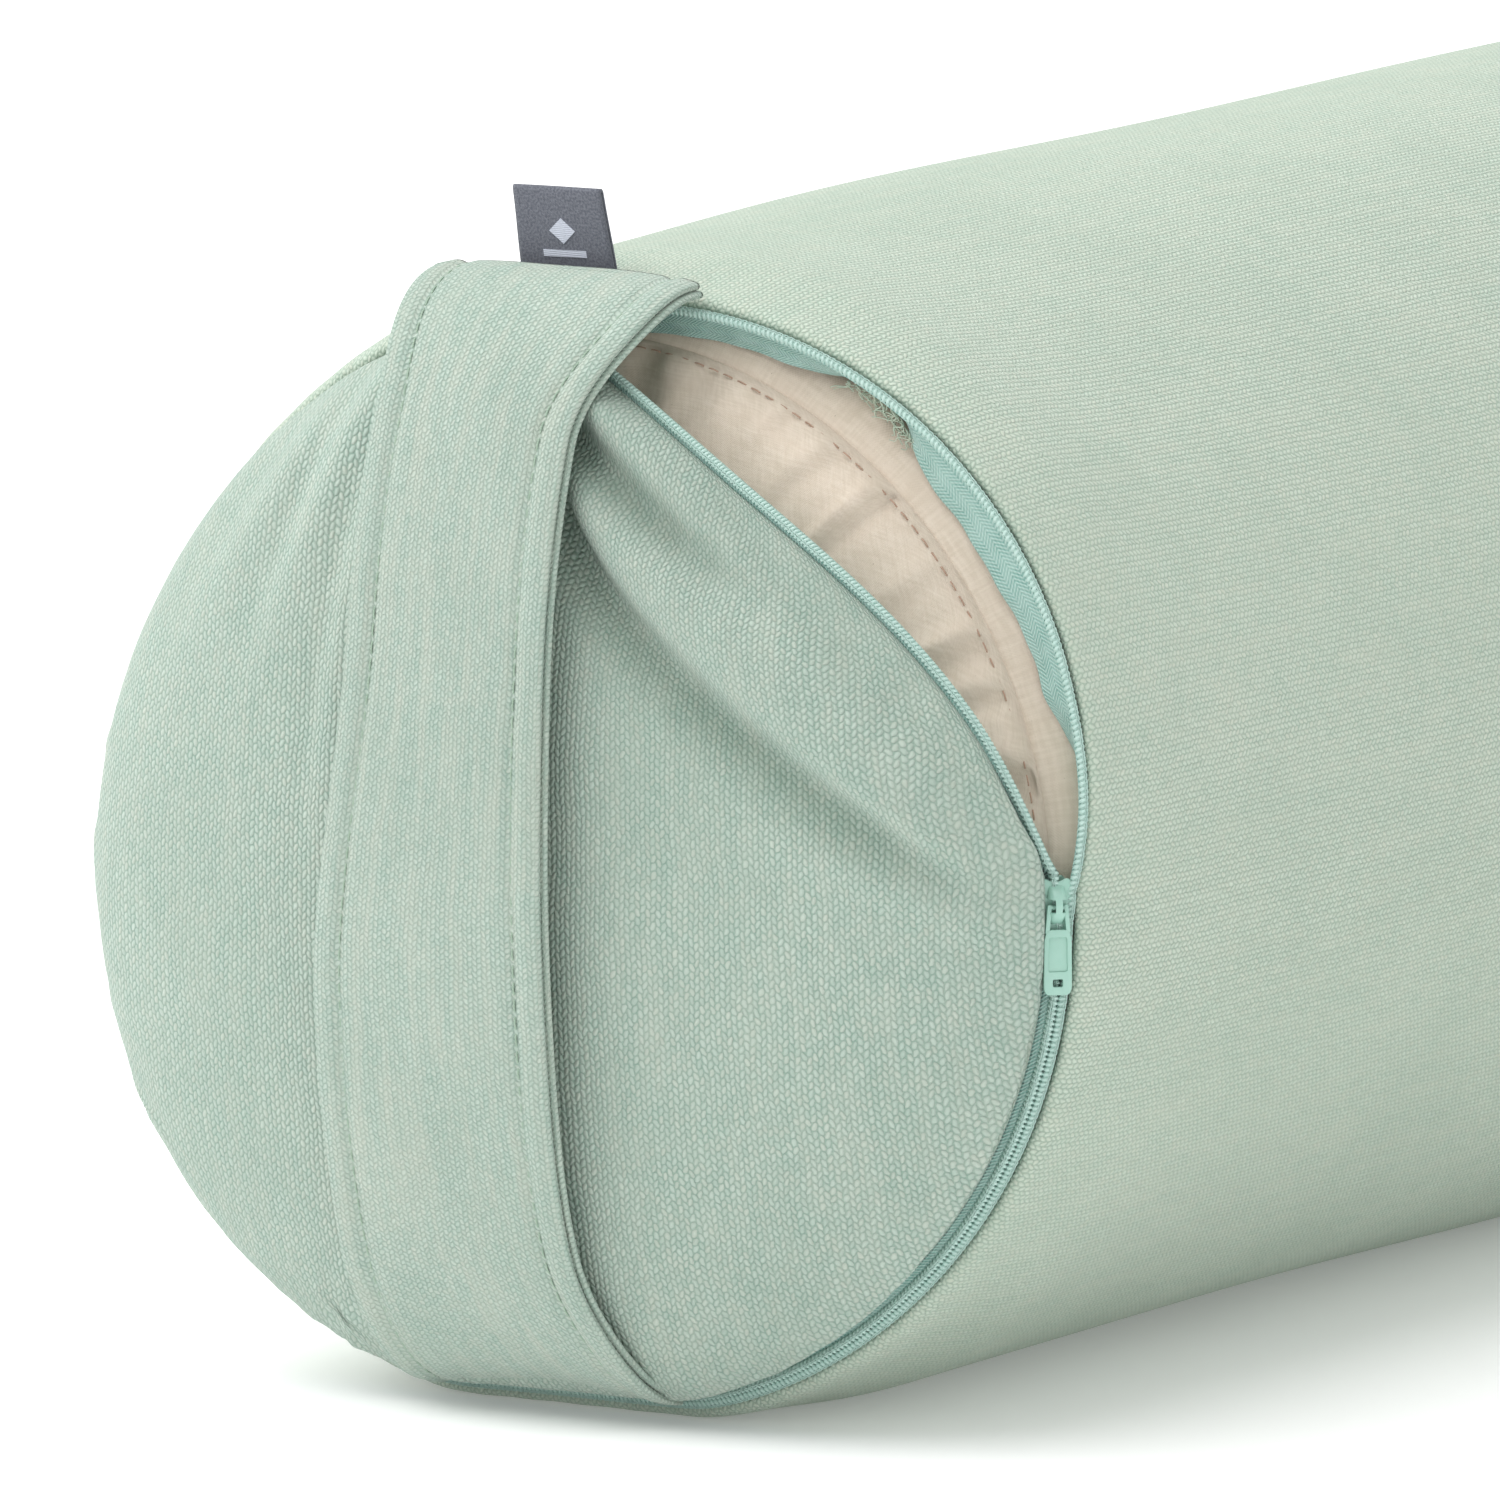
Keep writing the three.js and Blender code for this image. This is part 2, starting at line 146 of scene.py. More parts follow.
class Look:
    """A node material, built up from short calls."""

    def __init__(self, name, roughness=0.9, sheen=0.0, specular=0.3):
        self.material = bpy.data.materials.new(name)
        self.material.use_nodes = True
        self.nodes = self.material.node_tree.nodes
        self.links = self.material.node_tree.links
        self.nodes.clear()
        out = self.nodes.new("ShaderNodeOutputMaterial")
        self.shader = self.nodes.new("ShaderNodeBsdfPrincipled")
        self.links.new(self.shader.outputs[0], out.inputs[0])
        self.shader.inputs["Roughness"].default_value = roughness
        self.shader.inputs["Specular IOR Level"].default_value = specular
        self.shader.inputs["Sheen Weight"].default_value = sheen
        self.shader.inputs["Sheen Roughness"].default_value = 0.5
        self.height = None

    def put(self, socket, value):
        if isinstance(value, bpy.types.NodeSocket):
            self.links.new(value, socket)
        else:
            socket.default_value = value

    def math(self, op, a, b=0.0, c=0.0, clamp=False):
        node = self.nodes.new("ShaderNodeMath")
        node.operation = op
        node.use_clamp = clamp
        for socket, value in zip(node.inputs, (a, b, c)):
            self.put(socket, value)
        return node.outputs[0]

    def times(self, a, b):
        return self.math("MULTIPLY", a, b)

    def fma(self, a, b, c):
        return self.math("MULTIPLY_ADD", a, b, c)

    def sine(self, a):
        return self.math("SINE", a)

    def mix(self, share, a, b):
        node = self.nodes.new("ShaderNodeMix")
        node.data_type = "RGBA"
        node.clamp_factor = True
        self.put(node.inputs[0], share)
        self.put(node.inputs[6], a)
        self.put(node.inputs[7], b)
        return node.outputs[2]

    def cloth_place(self):
        node = self.nodes.new("ShaderNodeUVMap")
        node.uv_map = "cloth_mm"
        return node.outputs[0]

    def space_place(self):
        node = self.nodes.new("ShaderNodeTexCoord")
        return self.scaled(node.outputs["Object"], 1000.0)

    def scaled(self, vector, by):
        node = self.nodes.new("ShaderNodeVectorMath")
        node.operation = "SCALE"
        self.put(node.inputs[0], vector)
        node.inputs["Scale"].default_value = by
        return node.outputs[0]

    def split(self, vector):
        node = self.nodes.new("ShaderNodeSeparateXYZ")
        self.put(node.inputs[0], vector)
        return node.outputs

    def join(self, x, y, z=0.0):
        node = self.nodes.new("ShaderNodeCombineXYZ")
        for socket, value in zip(node.inputs, (x, y, z)):
            self.put(socket, value)
        return node.outputs[0]

    def noise(self, place, size, detail=2.0, rough=0.5):
        """Soft noise from 0 to 1, with patches of about that size."""
        node = self.nodes.new("ShaderNodeTexNoise")
        self.put(node.inputs["Vector"], place)
        node.inputs["Scale"].default_value = 1 / size
        node.inputs["Detail"].default_value = detail
        node.inputs["Roughness"].default_value = rough
        return node.outputs[0]

    def white(self, place):
        node = self.nodes.new("ShaderNodeTexWhiteNoise")
        node.noise_dimensions = "3D"
        self.put(node.inputs["Vector"], place)
        return node.outputs["Value"]

    def ranged(self, value, low, high, to_low=0.0, to_high=1.0):
        node = self.nodes.new("ShaderNodeMapRange")
        node.interpolation_type = "SMOOTHSTEP"
        self.put(node.inputs[0], value)
        for socket, v in zip(node.inputs[1:5], (low, high, to_low, to_high)):
            socket.default_value = v
        return node.outputs[0]

    def bump(self, height, depth, strength=1.0):
        """Adds relief: height from 0 to 1 stands for depth in millimetres."""
        node = self.nodes.new("ShaderNodeBump")
        node.inputs["Distance"].default_value = depth / 1000
        node.inputs["Strength"].default_value = strength
        self.put(node.inputs["Height"], height)
        if self.height is not None:
            self.links.new(self.height, node.inputs["Normal"])
        self.height = node.outputs[0]
        return self

    def done(self, colour=None, roughness=None):
        if colour is not None:
            self.put(self.shader.inputs["Base Color"], colour)
        if roughness is not None:
            self.put(self.shader.inputs["Roughness"], roughness)
        if self.height is not None:
            self.links.new(self.height, self.shader.inputs["Normal"])
        return self.material


def build_stage():
    size = 14.0
    mesh = bpy.data.meshes.new("studio_floor")
    mesh.from_pydata(
        [(-size, -size, 0), (size, -size, 0), (size, size, 0), (-size, size, 0)], [], [(0, 1, 2, 3)]
    )
    floor = bpy.data.objects.new("studio_floor", mesh)
    bpy.context.scene.collection.objects.link(floor)
    look = Look("studio_paper", roughness=0.95, specular=0.1)
    grain = look.noise(look.space_place(), 3.0, 3)
    look.bump(grain, 0.05, 0.3)
    floor.data.materials.append(look.done(look.mix(grain, (0.93, 0.93, 0.93, 1), (0.95, 0.95, 0.95, 1))))
    look.shader.inputs["Emission Color"].default_value = (1, 1, 1, 1)
    look.shader.inputs["Emission Strength"].default_value = 0.15

    def lamp(light, aim):
        holder = bpy.data.objects.new(light.name, light)
        bpy.context.scene.collection.objects.link(holder)
        holder.rotation_euler = aim.to_track_quat("-Z", "Y").to_euler()
        return holder

    window = bpy.data.lights.new("front_left", "AREA")
    window.shape = "DISK"
    window.size = 1.6
    window.energy = 19
    place, target = Vector((-1.0, 2.4, 1.5)), Vector((-0.3, 0, 0.12))
    lamp(window, target - place).location = place
    sky = bpy.data.lights.new("overhead", "SUN")
    sky.energy = 2.3
    sky.angle = math.radians(70)
    lamp(sky, Vector((0.30, -0.42, -1.6)))
    world = bpy.context.scene.world or bpy.data.worlds.new("world")
    bpy.context.scene.world = world
    world.use_nodes = True
    back = world.node_tree.nodes.get("Background")
    back.inputs[0].default_value = (1.0, 1.0, 1.0, 1)
    back.inputs[1].default_value = 0.66


build_stage()


# ---- Materials ----
def canvas_look(name, base, pale, ecru, gap, grain=(1.04, 1.58), turned=False, contrast=1.0, relief=0.34,
                sway=2.2, streak=0.15):
    """Canvas with raised grains in staggered columns; u runs across them and v along, in mm."""
    look = Look(name, roughness=0.93, sheen=0.22, specular=0.18)
    uv = look.cloth_place()
    u, v, _ = look.split(uv)
    drift = look.noise(uv, 19.0, 2)
    wander = look.noise(uv, 1.5, 2)
    if turned:
        u, v = v, u
    u = look.fma(look.math("SUBTRACT", wander, 0.5), 0.7, u)
    u = look.fma(look.math("SUBTRACT", drift, 0.5), sway, u)
    v = look.fma(look.math("SUBTRACT", look.noise(uv, 2.6, 2), 0.5), 0.7, v)
    across = look.math("DIVIDE", u, grain[0])
    column = look.math("FLOOR", across)
    odd = look.math("MODULO", look.math("ABSOLUTE", column), 2.0)
    along = look.fma(odd, 0.5, look.math("DIVIDE", v, grain[1]))
    row = look.math("FLOOR", along)
    # A slight lean in alternate columns gives the knotted, plaited look of the weave.
    fv = look.math("SUBTRACT", look.math("FRACT", along), 0.5)
    fu = look.math("SUBTRACT", look.math("FRACT", across), 0.5)
    lean = look.times(fv, look.fma(odd, 0.8, -0.4))
    fu = look.math("ADD", fu, lean)
    side = look.times(look.times(fu, fu), 4.2)
    ends = look.math("POWER", look.times(look.math("ABSOLUTE", fv), 2.0), 2.6)
    edges = look.fma(ends, 0.9, side)
    grain_top = look.math("SUBTRACT", 1.0, edges, clamp=True)
    chance = look.white(look.join(column, row, 3.0))
    chance_two = look.white(look.join(column, row, 8.0))
    yarn = look.white(look.join(column, 1.0, 5.0))
    fuzz = look.noise(uv, 0.28, 2, 0.6)
    patch = look.ranged(look.noise(uv, 7.0, 3, 0.6), 0.35, 0.65)
    top = look.mix(look.times(chance, 0.85), base, pale)
    top = look.mix(
        look.times(look.ranged(chance_two, 0.5, 0.95), 0.42 * contrast), top, ecru
    )
    top = look.mix(look.times(yarn, 0.22), top, base)
    # The hollows between the grains turn to the gap colour: partly the darker yarn showing there, partly
    # painted shade in the hollows.
    hollow_shade = look.math("SUBTRACT", 1.0, look.ranged(grain_top, 0.05, 0.62))
    colour = look.mix(look.times(hollow_shade, 0.78 * contrast), top, gap)
    colour = look.mix(look.times(patch, 0.14), colour, ecru)
    shade = look.ranged(look.noise(uv, 45.0, 2), 0.4, 0.65)
    colour = look.mix(look.times(shade, 0.12), colour, gap)
    colour = look.mix(look.times(look.math("SUBTRACT", fuzz, 0.45), 0.6), colour, pale)
    height = look.fma(fuzz, 0.18, grain_top)
    height = look.fma(chance, 0.14, height)
    streaks = look.ranged(look.noise(look.join(u, look.times(v, 0.09)), 3.2, 3), 0.42, 0.68)
    colour = look.mix(look.times(streaks, streak), colour, ecru)
    haze = look.ranged(look.noise(uv, 0.75, 3, 0.7), 0.3, 0.7)
    colour = look.mix(look.times(haze, 0.22), colour, pale)
    look.bump(look.noise(uv, 14.0, 2), 0.5, 0.5)
    look.bump(height, relief, 0.9)
    return look.done(colour, look.ranged(grain_top, 0.0, 1.0, 0.98, 0.86))


# One mint canvas in lit and shaded copies: this darker palette is painted shade, used for the upright end
# panels and the strap, darker than the tube's copy below.
MINT_SHADED = dict(
    base=rgb(167, 187, 175), pale=rgb(187, 203, 192), ecru=rgb(197, 200, 186), gap=rgb(116, 148, 132)
)
CANVAS_UPRIGHT_SHADED = canvas_look("mint_canvas_upright_painted_shade", **MINT_SHADED, contrast=0.85, grain=(1.08, 1.6))
CANVAS_STRAP_SHADED = canvas_look(
    "mint_canvas_strap_painted_shade", **MINT_SHADED, contrast=0.68, grain=(0.98, 1.15), relief=0.28, sway=1.4, streak=0.32
)
# The tube's copy of the same canvas, painted lighter than the palette above: painted light on the tube.
CANVAS_LEVEL_LIT = canvas_look(
    "mint_canvas_level_painted_light", base=rgb(187, 203, 187), pale=rgb(201, 215, 200), ecru=rgb(206, 209, 192),
    gap=rgb(142, 168, 150), grain=(1.0, 1.5), turned=True, contrast=0.9, relief=0.3, sway=0.8,
)


def tape_look(name, light, dark):
    """Woven zip tape: fine herringbone ribs, u across the tape and v along it, in mm."""
    look = Look(name, roughness=0.82, sheen=0.15, specular=0.3)
    uv = look.cloth_place()
    u, v, _ = look.split(uv)
    fold = look.math("PINGPONG", u, 1.9)
    rib = look.sine(look.times(look.math("ADD", v, look.times(fold, 0.9)), 7.6))
    cross = look.sine(look.times(u, 9.5))
    weave = look.fma(rib, 0.36, look.fma(cross, 0.14, 0.5))
    patch = look.ranged(look.noise(uv, 4.0, 3), 0.35, 0.65)
    colour = look.mix(weave, dark, light)
    colour = look.mix(look.times(patch, 0.35), colour, light)
    look.bump(look.noise(uv, 5.0, 2), 0.9, 0.8)
    look.bump(weave, 0.22, 0.9)
    return look.done(colour)


TAPE_LOOK = tape_look("zip_tape_weave", rgb(190, 218, 210), rgb(120, 170, 160))


def coil_look():
    look = Look("zip_coil_nylon", roughness=0.42, specular=0.45)
    place = look.space_place()
    patch = look.noise(place, 2.2, 2)
    fine = look.noise(place, 0.25, 2)
    look.bump(fine, 0.03, 0.5)
    colour = look.mix(patch, rgb(178, 210, 201), rgb(198, 222, 214))
    return look.done(colour, look.ranged(fine, 0.3, 0.7, 0.35, 0.55))


COIL_LOOK = coil_look()


def cotton_look():
    """Plain-woven unbleached cotton: fine threads both ways, slubs and small dark flecks."""
    look = Look("unbleached_cotton", roughness=0.95, sheen=0.12, specular=0.15)
    uv = look.cloth_place()
    u, v, _ = look.split(uv)
    wobble = look.noise(uv, 3.0, 2)
    over = look.sine(look.times(look.fma(wobble, 0.6, u), 11.0))
    under = look.sine(look.times(look.fma(wobble, 0.6, v), 11.0))
    weave = look.fma(look.times(over, under), 0.5, 0.5)
    slub = look.noise(look.join(look.times(u, 0.12), v), 0.8, 2)
    slub_two = look.noise(look.join(u, look.times(v, 0.12)), 0.8, 2)
    slubs = look.times(look.math("ADD", slub, slub_two), 0.5)
    patch = look.ranged(look.noise(uv, 10.0, 3), 0.35, 0.65)
    fleck = look.ranged(look.noise(uv, 0.9, 2), 0.74, 0.80)
    colour = look.mix(look.ranged(slubs, 0.35, 0.65), rgb(211, 197, 179), rgb(225, 212, 196))
    colour = look.mix(look.times(patch, 0.35), colour, rgb(216, 200, 183))
    colour = look.mix(look.times(weave, 0.12), colour, rgb(232, 221, 206))
    colour = look.mix(look.times(fleck, 0.65), colour, rgb(134, 108, 84))
    look.bump(look.noise(uv, 6.0, 3), 0.5, 0.6)
    look.bump(look.fma(slubs, 0.8, weave), 0.08, 0.6)
    return look.done(colour)


COTTON_LOOK = cotton_look()


def thread_look(name, light, dark):
    """Twisted sewing thread."""
    look = Look(name, roughness=0.7, sheen=0.1, specular=0.3)
    place = look.space_place()
    x, y, z = look.split(place)
    twist = look.sine(look.times(look.math("ADD", look.math("ADD", x, y), z), 11.0))
    look.bump(twist, 0.06, 0.6)
    return look.done(look.mix(look.noise(place, 1.3, 2), light, dark))


GREEN_THREAD = thread_look("mint_thread", rgb(178, 196, 178), rgb(140, 168, 148))
FRAY_THREAD = thread_look("frayed_yarn", rgb(206, 210, 190), rgb(176, 200, 182))
SEWING_THREAD = thread_look("zip_sewing_thread", rgb(196, 218, 210), rgb(160, 196, 186))
ROSE_THREAD = thread_look("rose_brown_thread", rgb(196, 164, 144), rgb(176, 142, 122))


def label_look():
    look = Look("label_ribbon_weave", roughness=0.88, sheen=0.1, specular=0.25)
    uv = look.cloth_place()
    u, v, _ = look.split(uv)
    over = look.sine(look.times(u, 17.0))
    under = look.sine(look.times(v, 17.0))
    weave = look.fma(look.times(over, under), 0.5, 0.5)
    speck = look.noise(uv, 0.45, 3)
    colour = look.mix(look.ranged(speck, 0.3, 0.7), rgb(82, 85, 95), rgb(118, 121, 130))
    look.bump(weave, 0.07, 0.8)
    return look.done(look.mix(look.times(weave, 0.25), colour, rgb(130, 133, 141)))


LABEL_LOOK = label_look()


def mark_look():
    look = Look("label_mark_weave", roughness=0.75, sheen=0.1)
    place = look.space_place()
    rib = look.sine(look.times(look.split(place)[2], 17.0))
    look.bump(rib, 0.05, 0.7)
    return look.done(look.mix(look.noise(place, 0.6, 2), rgb(205, 210, 222), rgb(188, 193, 207)))


MARK_LOOK = mark_look()


def painted_look():
    """Painted die-cast metal, with a little wear where the paint is thin."""
    look = Look("painted_zip_metal", roughness=0.38, specular=0.5)
    look.shader.inputs["Coat Weight"].default_value = 0.25
    look.shader.inputs["Coat Roughness"].default_value = 0.25
    place = look.space_place()
    patch = look.noise(place, 2.5, 3)
    chips = look.ranged(look.noise(place, 0.7, 4, 0.65), 0.70, 0.76)
    colour = look.mix(patch, rgb(150, 196, 180), rgb(168, 206, 192))
    colour = look.mix(look.times(chips, 0.35), colour, rgb(128, 158, 148))
    look.bump(look.noise(place, 0.8, 3), 0.03, 0.6)
    return look.done(colour, look.ranged(patch, 0.3, 0.7, 0.32, 0.48))


PAINTED_LOOK = painted_look()


def fibre_look():
    look = Look("fibre_fill", roughness=1.0, sheen=0.3, specular=0.1)
    place = look.space_place()
    tangle = look.noise(place, 2.0, 6, 0.7)
    look.bump(tangle, 1.2, 0.9)
    return look.done(look.mix(tangle, rgb(206, 198, 180), rgb(240, 235, 222)))


FIBRE_LOOK = fibre_look()


# ---- Mesh helpers ----
def piece(name, verts, faces, uvs, look, slot, body="cushion", replaces=(), shade=True):
    """A mesh from points in metres; uvs holds one [u, v] in millimetres for each face corner."""
    mesh = bpy.data.meshes.new(name)
    mesh.from_pydata(np.asarray(verts, float).reshape(-1, 3).tolist(), [], faces)
    if uvs is not None:
        layer = mesh.uv_layers.new(name="cloth_mm")
        layer.data.foreach_set("uv", np.asarray(uvs, np.float32).ravel())
    if shade:
        mesh.polygons.foreach_set("use_smooth", [True] * len(mesh.polygons))
    mesh.materials.append(look)
    obj = bpy.data.objects.new(name, mesh)
    bpy.context.scene.collection.objects.link(obj)
    if body:
        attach(obj, body)
    if replaces:
        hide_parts(*replaces)
    return obj


def quads(index, uv, flip=False):
    """Faces over a table of vertex numbers, and the uv of each face corner."""
    corners = [index[:-1, :-1], index[:-1, 1:], index[1:, 1:], index[1:, :-1]]
    maps = [uv[:-1, :-1], uv[:-1, 1:], uv[1:, 1:], uv[1:, :-1]]
    if flip:
        corners, maps = corners[::-1], maps[::-1]
    return np.stack(corners, -1).reshape(-1, 4).tolist(), np.stack(maps, -2).reshape(-1, 2)


def numbered(rows, cols, closed):
    index = np.arange(rows * cols).reshape(rows, cols)
    return np.concatenate([index, index[:, :1]], 1) if closed else index


def grid(name, points, uv, look, slot, body="cushion", replaces=(), round_trip=None, flip=False):
    """A sheet through rows x columns of local points. round_trip is the [u, v] step that closes the
    columns."""
    closed = round_trip is not None
    uv = np.asarray(uv, float)
    if closed:
        uv = np.concatenate([uv, uv[:, :1] + np.array(round_trip, float)], 1)
    faces, uvs = quads(numbered(*points.shape[:2], closed), uv, flip)
    return piece(name, settled(points), faces, uvs, look, slot, body, replaces)


def weld(obj, reach):
    """Merges the points of a mesh that lie together, as at a pole."""
    bm = bmesh.new()
    bm.from_mesh(obj.data)
    bmesh.ops.remove_doubles(bm, verts=bm.verts, dist=reach)
    bm.to_mesh(obj.data)
    bm.free()
    return obj


def polar(reach, turn):
    return np.stack([reach * np.cos(turn), reach * np.sin(turn)], -1)


def disc_grid(name, points, uv, look, slot, replaces, flip=False):
    """A closed ring of columns, with its pole welded."""
    uv = np.concatenate([uv, uv[:, :1]], 1)
    faces, uvs = quads(numbered(*points.shape[:2], True), uv, flip)
    return weld(piece(name, settled(points), faces, uvs, look, slot, replaces=replaces), 0.00002)


def unit(vectors):
    return vectors / np.linalg.norm(vectors, axis=-1, keepdims=True)


def length_along(points):
    return np.concatenate([[0], np.cumsum(np.linalg.norm(np.diff(points, axis=0), axis=1))])


def thicken(obj, millimetres, offset=-1):
    mod = obj.modifiers.new("cloth thickness", "SOLIDIFY")
    mod.thickness = millimetres / 1000
    mod.offset = offset
    mod.use_even_offset = False
    return obj


def refine(obj):
    mod = obj.modifiers.new("smooth cloth", "SUBSURF")
    mod.levels = 1
    mod.render_levels = 1
    mod.uv_smooth = "PRESERVE_BOUNDARIES"
    return obj


def circle(sides):
    return np.linspace(0, 2 * math.pi, sides + 1)[:-1]


def sweep(path, frames, section):
    """Points of a tube: a closed [a, b] section carried along path by its two frame vectors."""
    one, two = frames
    a = np.asarray(section)[:, 0][None, :, None]
    b = np.asarray(section)[:, 1][None, :, None]
    return path[:, None, :] + one[:, None, :] * a + two[:, None, :] * b


def tube_mesh(rings):
    """Verts and faces of a capped tube through rings x sides points."""
    count, sides = rings.shape[:2]
    index = numbered(count, sides, True)
    corners = [index[:-1, :-1], index[1:, :-1], index[1:, 1:], index[:-1, 1:]]
    faces = np.stack(corners, -1).reshape(-1, 4).tolist()
    faces.append(list(range(sides)))
    faces.append(list(range((count - 1) * sides, count * sides))[::-1])
    return rings.reshape(-1, 3), faces


def joined(parts):
    """Several (verts, faces) pairs as one."""
    verts, faces, base = [], [], 0
    for v, f in parts:
        verts.append(v)
        faces += [[i + base for i in face] for face in f]
        base += len(v)
    return np.concatenate(verts), faces


def threads(name, parts, look, slot, body="cushion", replaces=()):
    verts, faces = joined(parts)
    return piece(name, verts, faces, None, look, slot, body, replaces)


def stitches(name, points, normals, look, slot, length, gap, radius, body="cushion", lift=0.12):
    """A row of sewn stitches: short bowed threads that dive into the cloth at each end.
    Points are in metres."""
    points = np.asarray(points, float)
    run = np.concatenate([[0], np.cumsum(np.linalg.norm(np.diff(points, axis=0), axis=1) * 1000)])
    section = polar(1.0, circle(6)) * [1, 0.8] * radius / 1000
    bow = np.sin(np.linspace(0, math.pi, 7)) ** 0.6
    parts = []
    start = 0.4
    while start + length < run[-1]:
        at = np.linspace(start, start + length, 7)
        centre = np.stack([np.interp(at, run, points[:, k]) for k in range(3)], 1)
        normal = unit(np.stack([np.interp(at, run, normals[:, k]) for k in range(3)], 1))
        side = np.cross(unit(np.gradient(centre, axis=0)), normal)
        centre = centre + normal * ((bow * (radius + lift) - radius) / 1000)[:, None]
        parts.append(tube_mesh(sweep(centre, (side, normal), section)))
        start += length + gap
    return threads(name, parts, look, slot, body)


# ---- Shape of the cushion ----
def rim_offset(angle):
    """How far the zip end stands off a true circle, from how the filling lies."""
    rest = 1 - bell(angle, 270, 16)
    return (-5.6 * bell(angle, 38, 36) + 3.2 * bell(angle, 318, 30) + 2.5 * bell(angle, 195, 40)) * rest


def mouth_bulge(angle):
    """How far the filling pushes the tube's rim out along the open part of the zip."""
    s = np.clip((np.asarray(angle, float) % 360 - 92) / 86.5, 0, 1)
    return MOUTH_DEPTH * np.sin(math.pi * s ** 1.3) ** 0.85 * (s < 1)


def flap_sag(angle):
    """How far the loose edge of the zip end panel has sagged towards the middle."""
    s = np.clip((np.asarray(angle, float) % 360 - 86) / 90.5, 0, 1)
    return 14 * np.maximum(np.sin(math.pi * s ** 0.8), 0) ** 1.5


def zipped(angle):
    """One where the zip is, zero along the plain seam."""
    return smooth(angle, 89, 94) * (1 - smooth(angle, 335, 340))


def edge_half(angle):
    """Half the gap between the two cloth edges: wide where the zip is, closed along the plain seam."""
    return SEAM_HALF + (EDGE_HALF - SEAM_HALF) * zipped(np.asarray(angle, float) % 360)


def band_half(angle):
    """The same on the panel side, where a band of tape shows between the coil and the hem."""
    a = np.asarray(angle, float) % 360
    extra = 1.35 + 0.35 * bell(a, 282, 26) - 0.9 * (1 - smooth(a, 160, 174))
    return edge_half(a) + extra * zipped(a)


def follows(angle, x):
    """How the tube behind the rim follows the rim's own shape."""
    return rim_offset(angle) * np.exp(-x / 130), mouth_bulge(angle) * np.exp(-x / 42)


def tube_radius(angle, x):
    turn = np.radians(angle)
    offset, bulge = follows(angle, x)
    near = offset + bulge
    lumps = 0.55 * np.sin(2 * turn + x / 95 + 0.6) + 0.4 * np.sin(3 * turn - x / 57)
    lumps = lumps + 0.25 * np.sin(7 * turn + x / 31)
    calm = smooth(x, 12, 70) * (1 - smooth(x, RIM_SPACING - 60, RIM_SPACING - 10))
    calm = calm * (1 - bell(angle, 270, 14))
    swell = 3.0 * (1 + np.sin(turn)) * smooth(x, 0, 26) * (1 - smooth(x, RIM_SPACING - 40, RIM_SPACING))
    swell = swell * (1 - 0.95 * bell(angle, 32, 46) * np.exp(-((x / 75) ** 2)))
    squash = 3.8 * (bell(angle, 237, 20) + bell(angle, 303, 20)) * smooth(x, 2, 40)
    squash = squash * (1 - smooth(x, RIM_SPACING - 60, RIM_SPACING))
    return TUBE_RADIUS + near + lumps * calm + swell + squash


def ring(angle, x, radius):
    turn = np.radians(angle)
    x = np.broadcast_to(x, np.broadcast(turn, radius).shape)
    return np.stack([x, radius * np.cos(turn), radius * np.sin(turn)], -1)


def crown_x(radius):
    """x of the crowned panel at a radius."""
    return -2.3 - PANEL_CROWN * superellipse(np.clip(radius / PANEL_EDGE, 0, 1))


def ripple_round(angle, count, beat, times):
    """An uneven ripple round the rim."""
    return np.sin(np.radians(angle) * count + beat * np.sin(np.radians(angle) * times))


# ---- Cover: the tube, with its rolled rims and its long seam ----
LONG_SEAM = 330.0


def cover_tube():
    into = np.array([0.0, 0.22, 0.5, 0.9, 1.5])
    angles = LONG_SEAM + np.concatenate([into, np.linspace(2.6, 357.4, 236), 360 - into[::-1]])
    tuck = 3.0 * np.exp(-((np.minimum(angles - LONG_SEAM, LONG_SEAM + 360 - angles) / 0.33) ** 2))
    # x from the seam plane and step from the full radius: the hem turned in, the fold, then the tube
    rim = [(6.5, -4.6), (4.2, -4.3), (2.4, -3.7), (1.35, -2.7), (1.05, -1.8), (1.35, -0.9), (2.3, -0.25),
           (4.2, 0.1), (7.0, 0.2), (11.0, 0.1), (16.0, 0.0)]
    far = [(16.0, 0.0), (11.0, 0.1), (7.0, 0.1), (4.2, -0.1), (2.2, -0.6), (0.9, -1.6), (0.35, -3.0),
           (0.5, -5.0)]
    middle = np.linspace(23, RIM_SPACING - 23, 62)
    xs = np.array([x for x, _ in rim] + list(middle) + [RIM_SPACING - x for x, _ in far])
    steps = np.array([s for _, s in rim] + [0.0] * len(middle) + [s for _, s in far])
    a, x = np.meshgrid(angles, xs)
    gather = 0.16 * ripple_round(a, 58, 2, 5) * np.exp(-x / 7)
    gather = gather + 0.3 * ripple_round(a, 44, 3, 3) * np.exp(-(RIM_SPACING - x) / 9)
    closing = (edge_half(a) - EDGE_HALF) * DIAGONAL * np.exp(-((x - 1.0) / 5) ** 2)
    radius = tube_radius(a, x) + steps[:, None] - tuck[None, :] + closing + gather
    points = ring(a, x + closing, radius)
    v = np.cumsum(np.hypot(np.diff(xs, prepend=xs[0]), np.diff(steps, prepend=steps[0])))
    uv = np.stack([np.broadcast_to(v[:, None], a.shape), np.radians(a) * TUBE_RADIUS], -1)
    obj = grid("cover_body", points, uv, CANVAS_LEVEL_LIT, "cover_canvas", replaces=("cover_tube",))
    refine(thicken(obj, CANVAS_THICK))


# ---- Cover: the zip end panel, draped by a cloth simulation where the zip is open ----
def zip_turn(angle):
    """The zip's direction across, as [x, radial]: on the diagonal, and facing more forward at the bottom."""
    t = np.radians(45 - 24 * bell(angle, 285, 34))
    return np.sin(t), np.cos(t)


